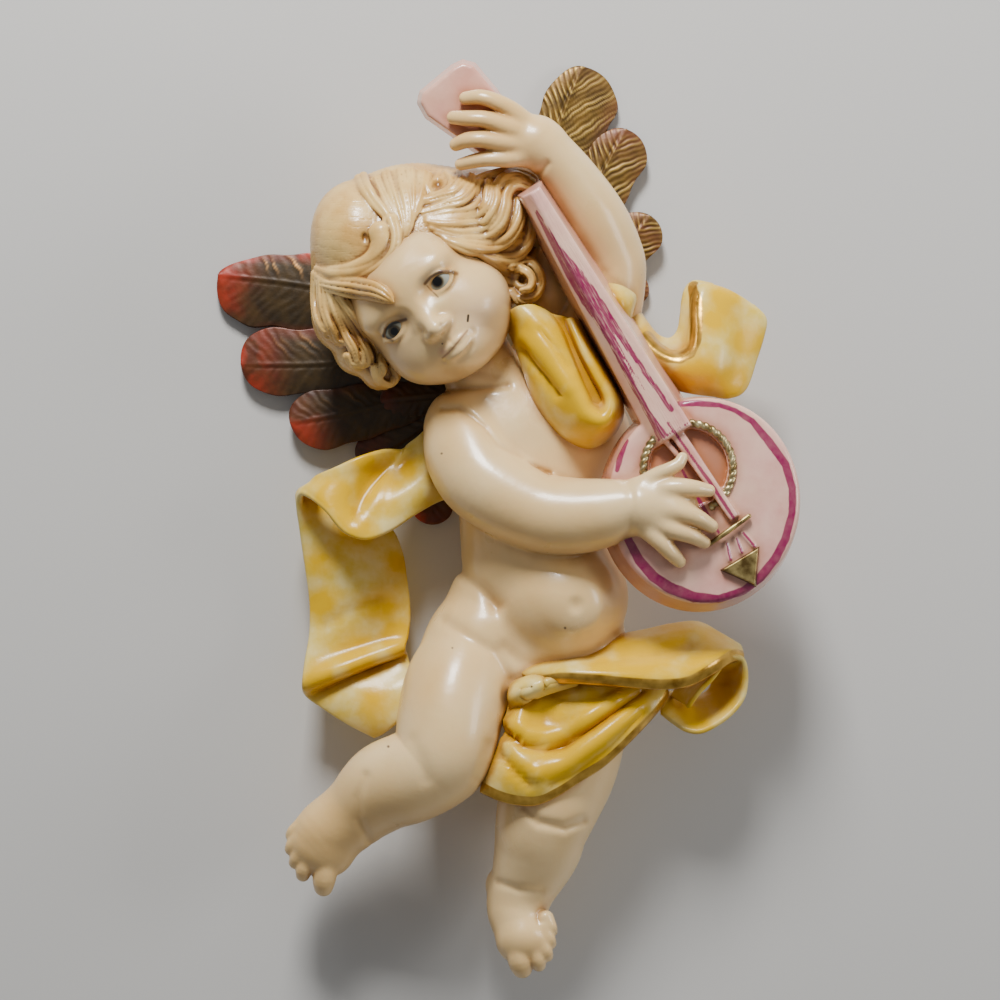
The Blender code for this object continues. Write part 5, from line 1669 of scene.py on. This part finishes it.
# brush work, in drawing millimetres: lines of points with a width, which lie on lids and eyes alike
eyeLines = [
    ([(-41.2, 43.6), (-39.2, 46.0), (-37.2, 47.3), (-35.2, 48.1)], 0.6, 0.3, "241E1C", 0.9),
    ([(-35.4, 48.2), (-33, 48.4), (-31, 48.0), (-29.4, 47.4)], 0.75, 0.4, "4A3028", 0.85),
    ([(-40.4, 42.8), (-39.4, 41.6), (-38.3, 40.6), (-36.3, 38.6)], 0.28, 0.22, "4A3A34", 0.75),
    ([(-56.8, 24.0), (-55.8, 26.6), (-53.2, 28.7), (-50.6, 29.6), (-48.5, 30.2)], 0.6, 0.3, "282220", 0.9),
    ([(-56.8, 24.2), (-55.2, 23.2), (-53.4, 22.2)], 0.5, 0.4, "3B322E", 0.8),
]
# the same on the face alone, and spots: the line in the left eye's socket, the bluish and grey spots round
# the eyes and the two brown nostril spots are painted shade; the rest is the face's own paint
faceLinesAndShade = [
    # painted shade in the left eye's socket
    ([(-49.0, 30.4), (-46.4, 28.8), (-45.2, 25.6)], 1.1, 1.1, "7D6450", 0.4),
    ([(-34.6, 15.8), (-32.2, 17.9), (-30, 20.4), (-27.4, 23.6), (-25.4, 26.0)], 0.34, 0.3, "8A5C46", 0.75),
    ([(-25.0, 31.7), (-25.2, 29.6)], 0.42, 0.15, "17110E", 0.95),
]
faceSpotsAndShade = [
    # the next two lines: painted shade round the eyes, above and beside the lids
    ((-41.4, 44.6), 1.6, 1.6, "6E7C80", 0.5), ((-38.5, 48.0), 1.6, 1.8, "8E9796", 0.35),
    ((-57.0, 27.2), 1.4, 1.4, "8B9492", 0.4), ((-50.4, 31.2), 1.2, 1.4, "77706A", 0.4),
    ((-36, 37), 2.4, 2.6, "D9C48C", 0.5), ((-34.6, 18.2), 1.3, 1.3, "C98474", 0.5),
    # the two brown 7A5844 spots are painted shade in the nostrils
    ((-34.7, 21.1), 0.36, 0.15, "3A2A22", 0.85), ((-35.3, 28.5), 0.7, 0.6, "7A5844", 0.55),
    ((-39, 24.2), 0.8, 0.8, "7A5844", 0.5), ((-22, 33), 8.0, 7.0, "DDB9A6", 0.3),
    ((-53, 13), 6.0, 6.0, "D0AE98", 0.3),
]


def spotLayers(tree, spots):
    layers = []
    for (across, up), radius, soft, code, most in spots:
        mask = useGroup(tree, "spot", {"Centre": (across, up, 0), "Radius": radius, "Soft": soft})["Mask"]
        layers.append((mask, code, most))
    return layers


def lineLayers(tree, lines):
    layers = []
    for line, width, soft, code, most in lines:
        mask = 0.0
        for start, end in zip(line[:-1], line[1:]):
            inputs = {"From": (*start, 0), "To": (*end, 0), "Width": width, "Soft": soft}
            mask = combine(tree, "MAXIMUM", useGroup(tree, "line", inputs)["Mask"], mask)
        layers.append((mask, code, most))
    return layers


def faceLayers(tree):
    return spotLayers(tree, faceSpotsAndShade) + lineLayers(tree, eyeLines + faceLinesAndShade)


def eyeMaterial(name, pupil, size):
    material, tree, shader = startMaterial(name, 0.2, 0.2)
    rings = [
        (pupil, 3.0, 0.6, "807A60", 0.6), (pupil, 2.4, 0.3, "4E4028", 0.95),
        (pupil, size, 0.25, "020202", 1.0),
    ]
    layers = spotLayers(tree, rings) + lineLayers(tree, eyeLines)
    # the eye's ground: grey-green paint, made darker than its own colour as painted shade of the lids over it
    tree.links.new(paintOver(tree, colour("9C9E90"), layers), shader.inputs["Base Color"])
    return material


def hairMaterial():
    material, tree, shader = startMaterial("hairPaint", 0.34, 0.25)
    patches = clouds(tree, 14.0, 0.35, 0.65)
    base = mixColours(tree, patches, colour("E9C276"), colour("CF9D4E"))
    washed = antique(tree, base, "6E3E0E", 0.55, 1.4, 0.85)
    tree.links.new(washed, shader.inputs["Base Color"])
    addBump(tree, shader, brushMarks(tree, 1.0))
    return material


def clothMaterial():
    material, tree, shader = startMaterial("clothPaint", 0.28, 0.1)
    shader.inputs["Specular IOR Level"].default_value = 0.24
    brushy = clouds(tree, 7.0, 0.35, 0.65)
    patches = clouds(tree, 24.0, 0.42, 0.58)
    base = mixColours(tree, brushy, colour("E4CE84"), colour("DDC050"))
    yellow = attribute(tree, "yellow")
    yellow = combine(tree, "ADD", yellow, mapTo(tree, brushy, 0, 1, -0.1, 0.12))
    yellow = combine(tree, "ADD", yellow, mapTo(tree, patches, 0, 1, -0.1, 0.16))
    yellow = mapTo(tree, yellow, 0.1, 0.85)
    base = mixColours(tree, yellow, base, colour("DBAC00"))
    washed = antique(tree, base, "A06400", 0.7, 0.8, 0.75)
    gold = mapTo(tree, attribute(tree, "hem"), -0.15, 0.15)
    glitter = clouds(tree, 5.0, 0.25, 0.75)
    goldTone = mixColours(tree, glitter, colour("94691C"), colour("E4B654"))
    tree.links.new(mixColours(tree, gold, washed, goldTone), shader.inputs["Base Color"])
    tree.links.new(combine(tree, "MULTIPLY", gold, 0.75), shader.inputs["Metallic"])
    addBump(tree, shader, brushMarks(tree, 2.0))
    return material


def banjoMaterial():
    material, tree, shader = startMaterial("banjoPaint", 0.27, 0.35)
    brushy = clouds(tree, 9.0, 0.35, 0.65)
    patches = clouds(tree, 30.0, 0.4, 0.6)
    base = mixColours(tree, brushy, colour("E9B9A8"), colour("DB9F93"))
    base = mixColours(tree, combine(tree, "MULTIPLY", patches, 0.5), base, colour("E8C2A4"))
    base = mixColours(tree, combine(tree, "MULTIPLY", attribute(tree, "side"), 0.4), base, colour("C98A68"))
    base = mixColours(tree, combine(tree, "MULTIPLY", attribute(tree, "well"), 0.9), base, colour("B87755"))
    washed = antique(tree, base, "A9632F", 0.5, 0.6, 0.7)
    uneven = clouds(tree, 2.6, 0.3, 0.7)
    grain = addNode(tree, "ShaderNodeTexNoise", {"Vector": attribute(tree, "grain", "Vector"), "Scale": 1.0,
                                                 "Detail": 3.0}).outputs["Fac"]
    streak = combine(tree, "MULTIPLY", attribute(tree, "board"), mapTo(tree, grain, 0.5, 0.6))
    edge = combine(tree, "ADD", attribute(tree, "ink"), mapTo(tree, uneven, 0, 1, -0.14, 0.14))
    edge = combine(tree, "ADD", edge, combine(tree, "MULTIPLY", streak, 0.45))
    ink = mapTo(tree, edge, 0.18, -0.18)
    ink = combine(tree, "MULTIPLY", ink, mapTo(tree, uneven, 0, 1, 0.85, 1.0))
    ink = combine(tree, "MULTIPLY", ink, combine(tree, "SUBTRACT", 1.0,
                                                 combine(tree, "MULTIPLY", streak, 0.35)))
    tree.links.new(mixColours(tree, ink, washed, colour("86004A")), shader.inputs["Base Color"])
    rough = brushMarks(tree, 3.0)
    addBump(tree, shader, combine(tree, "ADD", rough, streak))
    return material


def goldMaterial(name, dark="6B542A", light="CDB675"):
    material, tree, shader = startMaterial(name, 0.36, 0.1, 0.8)
    brushy = clouds(tree, 4.0, 0.35, 0.65)
    base = mixColours(tree, brushy, colour(dark), colour(light))
    washed = antique(tree, base, "3A2812", 0.5, 1.0, 0.85)
    tree.links.new(washed, shader.inputs["Base Color"])
    return material


def wingMaterial(name, base, second, gilt, edge, edgeMost, metal):
    material, tree, shader = startMaterial(name, 0.46, 0.02)
    brushy = clouds(tree, 5.0, 0.3, 0.7)
    patches = clouds(tree, 16.0, 0.42, 0.58)
    tone = mixColours(tree, brushy, colour(base), colour(second))
    tone = mixColours(tree, attribute(tree, "gilt"), tone, colour(gilt))
    rim = combine(tree, "MULTIPLY", attribute(tree, "tint"), mapTo(tree, patches, 0, 1, 0.2, 1.0))
    rim = combine(tree, "MULTIPLY", rim, edgeMost)
    tone = mixColours(tree, rim, tone, colour(edge))
    washed = antique(tree, tone, "1A0F06", 0.4, 0.9, 0.85)
    tree.links.new(washed, shader.inputs["Base Color"])
    shine = combine(tree, "MULTIPLY", combine(tree, "SUBTRACT", 1.0, rim), metal)
    tree.links.new(combine(tree, "MAXIMUM", shine, attribute(tree, "gilt")), shader.inputs["Metallic"])
    addBump(tree, shader, brushMarks(tree, 1.4))
    return material


# yellow paint on the cloth: spots of (across, up, radius)
yellowSpots = [
    (-60, -30, 9), (-75, -36, 7), (-68, -46, 6), (-80, -60, 5), (-52, -62, 4), (-56, -76, 6), (-80, -76, 5),
    (-66, -98, 8), (-52, -88, 6), (-80, -104, 6), (-60, -112, 6), (-64, -22, 5), (-48, -26, 4),
    (0, 22, 9), (8, 10, 9), (14, 0, 8), (20, -8, 8), (10, 24, 6), (20, 6, 8), (26, -8, 5),
    (72, 38, 7), (66, 30, 4), (80, 22, 5), (64, 10, 6), (56, 8, 6), (74, 6, 6), (44, 26, 4), (30, 37, 4),
    (50, -92, 10), (38, -96, 9), (24, -100, 6), (66, -92, 7), (60, -100, 6),
    (0, -124, 12), (10, -134, 12), (22, -122, 12), (-6, -140, 8), (34, -116, 8), (8, -114, 8), (20, -136, 8),
    (70, -112, 6), (74, -104, 5), (60, -118, 6),
]


def paintCloth(piece, points):
    yellow = np.zeros(len(points))
    for across, up, radius in yellowSpots:
        far = np.hypot(points[:, 0] - across, points[:, 1] - up)
        yellow = np.maximum(yellow, np.exp(-((far / (radius * 1.3)) ** 2)))
    if piece.name == "knot":
        yellow *= 0.2
    writeAttribute(piece, "yellow", yellow)


def dress():
    for group in (makeMottle, makePatina, makeBrushed, makeSpot, makeLine):
        group()
    bare = skinMaterial("skinPaint")
    finishes = {
        "bodyCasting": (bare, "painted_skin"),
        "face": (skinMaterial("facePaint", faceLayers), "painted_skin"),
        "leftEye": (eyeMaterial("leftEyeGlaze", (-52.7, 25.7), 1.5), "eye_glaze"),
        "rightEye": (eyeMaterial("rightEyeGlaze", (-36.6, 44.4), 1.85), "eye_glaze"),
        "hair": (hairMaterial(), "painted_hair"), "banjoBody": (banjoMaterial(), "painted_banjo"),
        "banjoTrim": (goldMaterial("trimGold"), "painted_banjo"),
        "soundHoleRope": (goldMaterial("ropeGold", "8C7645", "E3D3A0"), "painted_banjo"),
    }
    clothPaint = clothMaterial()
    for name in cloth:
        finishes[name] = (clothPaint, "painted_cloth")
    darkWing = wingMaterial("darkWing", "2A1E0A", "443212", "F0B470", "B83218", 0.9, 0.2)
    goldWing = wingMaterial("goldWing", "44300C", "74561E", "DDB860", "6E3420", 0.7, 0.55)
    for name, piece in made.items():
        if name.startswith("wing"):
            left = name.startswith("wingLeft")
            material, slotName = (darkWing, "dark_gilt") if left else (goldWing, "antique_gold")
            node = "wing_left" if left else "wing_right"
        else:
            material, slotName = finishes[name]
            node = "cherub_figure"
        piece.data.materials.append(material)
        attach(piece, "root")
        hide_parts(node)


# Stage: a pale wall that vanishes from behind, a soft window overhead and a camera where the photo's was.
stage = {
    "wall": {"half": 3.0, "behind": 0.0005, "colour": "C3C1BD"},
    "aim": (0, 0, -0.04),
    "lights": {
        # place, power, width, length
        "window": ((-0.12, -0.62, 0.85), 19.0, 0.26, 0.3),
        "room": ((1.0, -0.5, 0.12), 4.5, 0.3, 0.5),
        "rear": ((0.3, 1.0, 0.6), 6.0, 0.8, 0.8),
    },
    "sky": {"colour": (0.85, 0.87, 0.9, 1), "strength": 0.3},
}


def setStage():
    half, y = stage["wall"]["half"], stage["wall"]["behind"]
    wallMesh = bpy.data.meshes.new("wall")
    corners = [(-half, y, -half), (half, y, -half), (half, y, half), (-half, y, half)]
    wallMesh.from_pydata(corners, [], [(0, 1, 2, 3)])
    wall = bpy.data.objects.new("wall", wallMesh)
    bpy.context.scene.collection.objects.link(wall)
    material, tree, shader = startMaterial("wallPaint", 0.9)
    shader.inputs["Base Color"].default_value = colour(stage["wall"]["colour"])
    behind = addNode(tree, "ShaderNodeNewGeometry").outputs["Backfacing"]
    tree.links.new(combine(tree, "SUBTRACT", 1.0, behind), shader.inputs["Alpha"])
    wallMesh.materials.append(material)
    wall.visible_shadow = False
    for name, (place, power, width, length) in stage["lights"].items():
        lightData = bpy.data.lights.new(name, "AREA")
        lightData.shape = "RECTANGLE"
        lightData.energy = power
        lightData.size = width
        lightData.size_y = length
        light = bpy.data.objects.new(name, lightData)
        light.location = place
        light.rotation_euler = (Vector(stage["aim"]) - Vector(place)).to_track_quat("-Z", "Y").to_euler()
        bpy.context.scene.collection.objects.link(light)
    world = bpy.data.worlds.new("world")
    world.use_nodes = True
    background = world.node_tree.nodes["Background"]
    background.inputs["Color"].default_value = stage["sky"]["colour"]
    background.inputs["Strength"].default_value = stage["sky"]["strength"]
    bpy.context.scene.world = world
    lens = bpy.data.cameras.new("camera")
    lens.lens = view["lens"]
    lens.sensor_width = view["sensor"]
    camera = bpy.data.objects.new("camera", lens)
    camera.location = (view["across"] * mm, -view["distance"] * mm, view["up"] * mm)
    camera.rotation_euler = (math.pi / 2, 0, 0)
    bpy.context.scene.collection.objects.link(camera)
    bpy.context.scene.camera = camera


makeBody()
makeFace()
makeHair()
makeCloth()
makeBanjo()
makeWings()
addWear()
dress()
setStage()
report("scene")
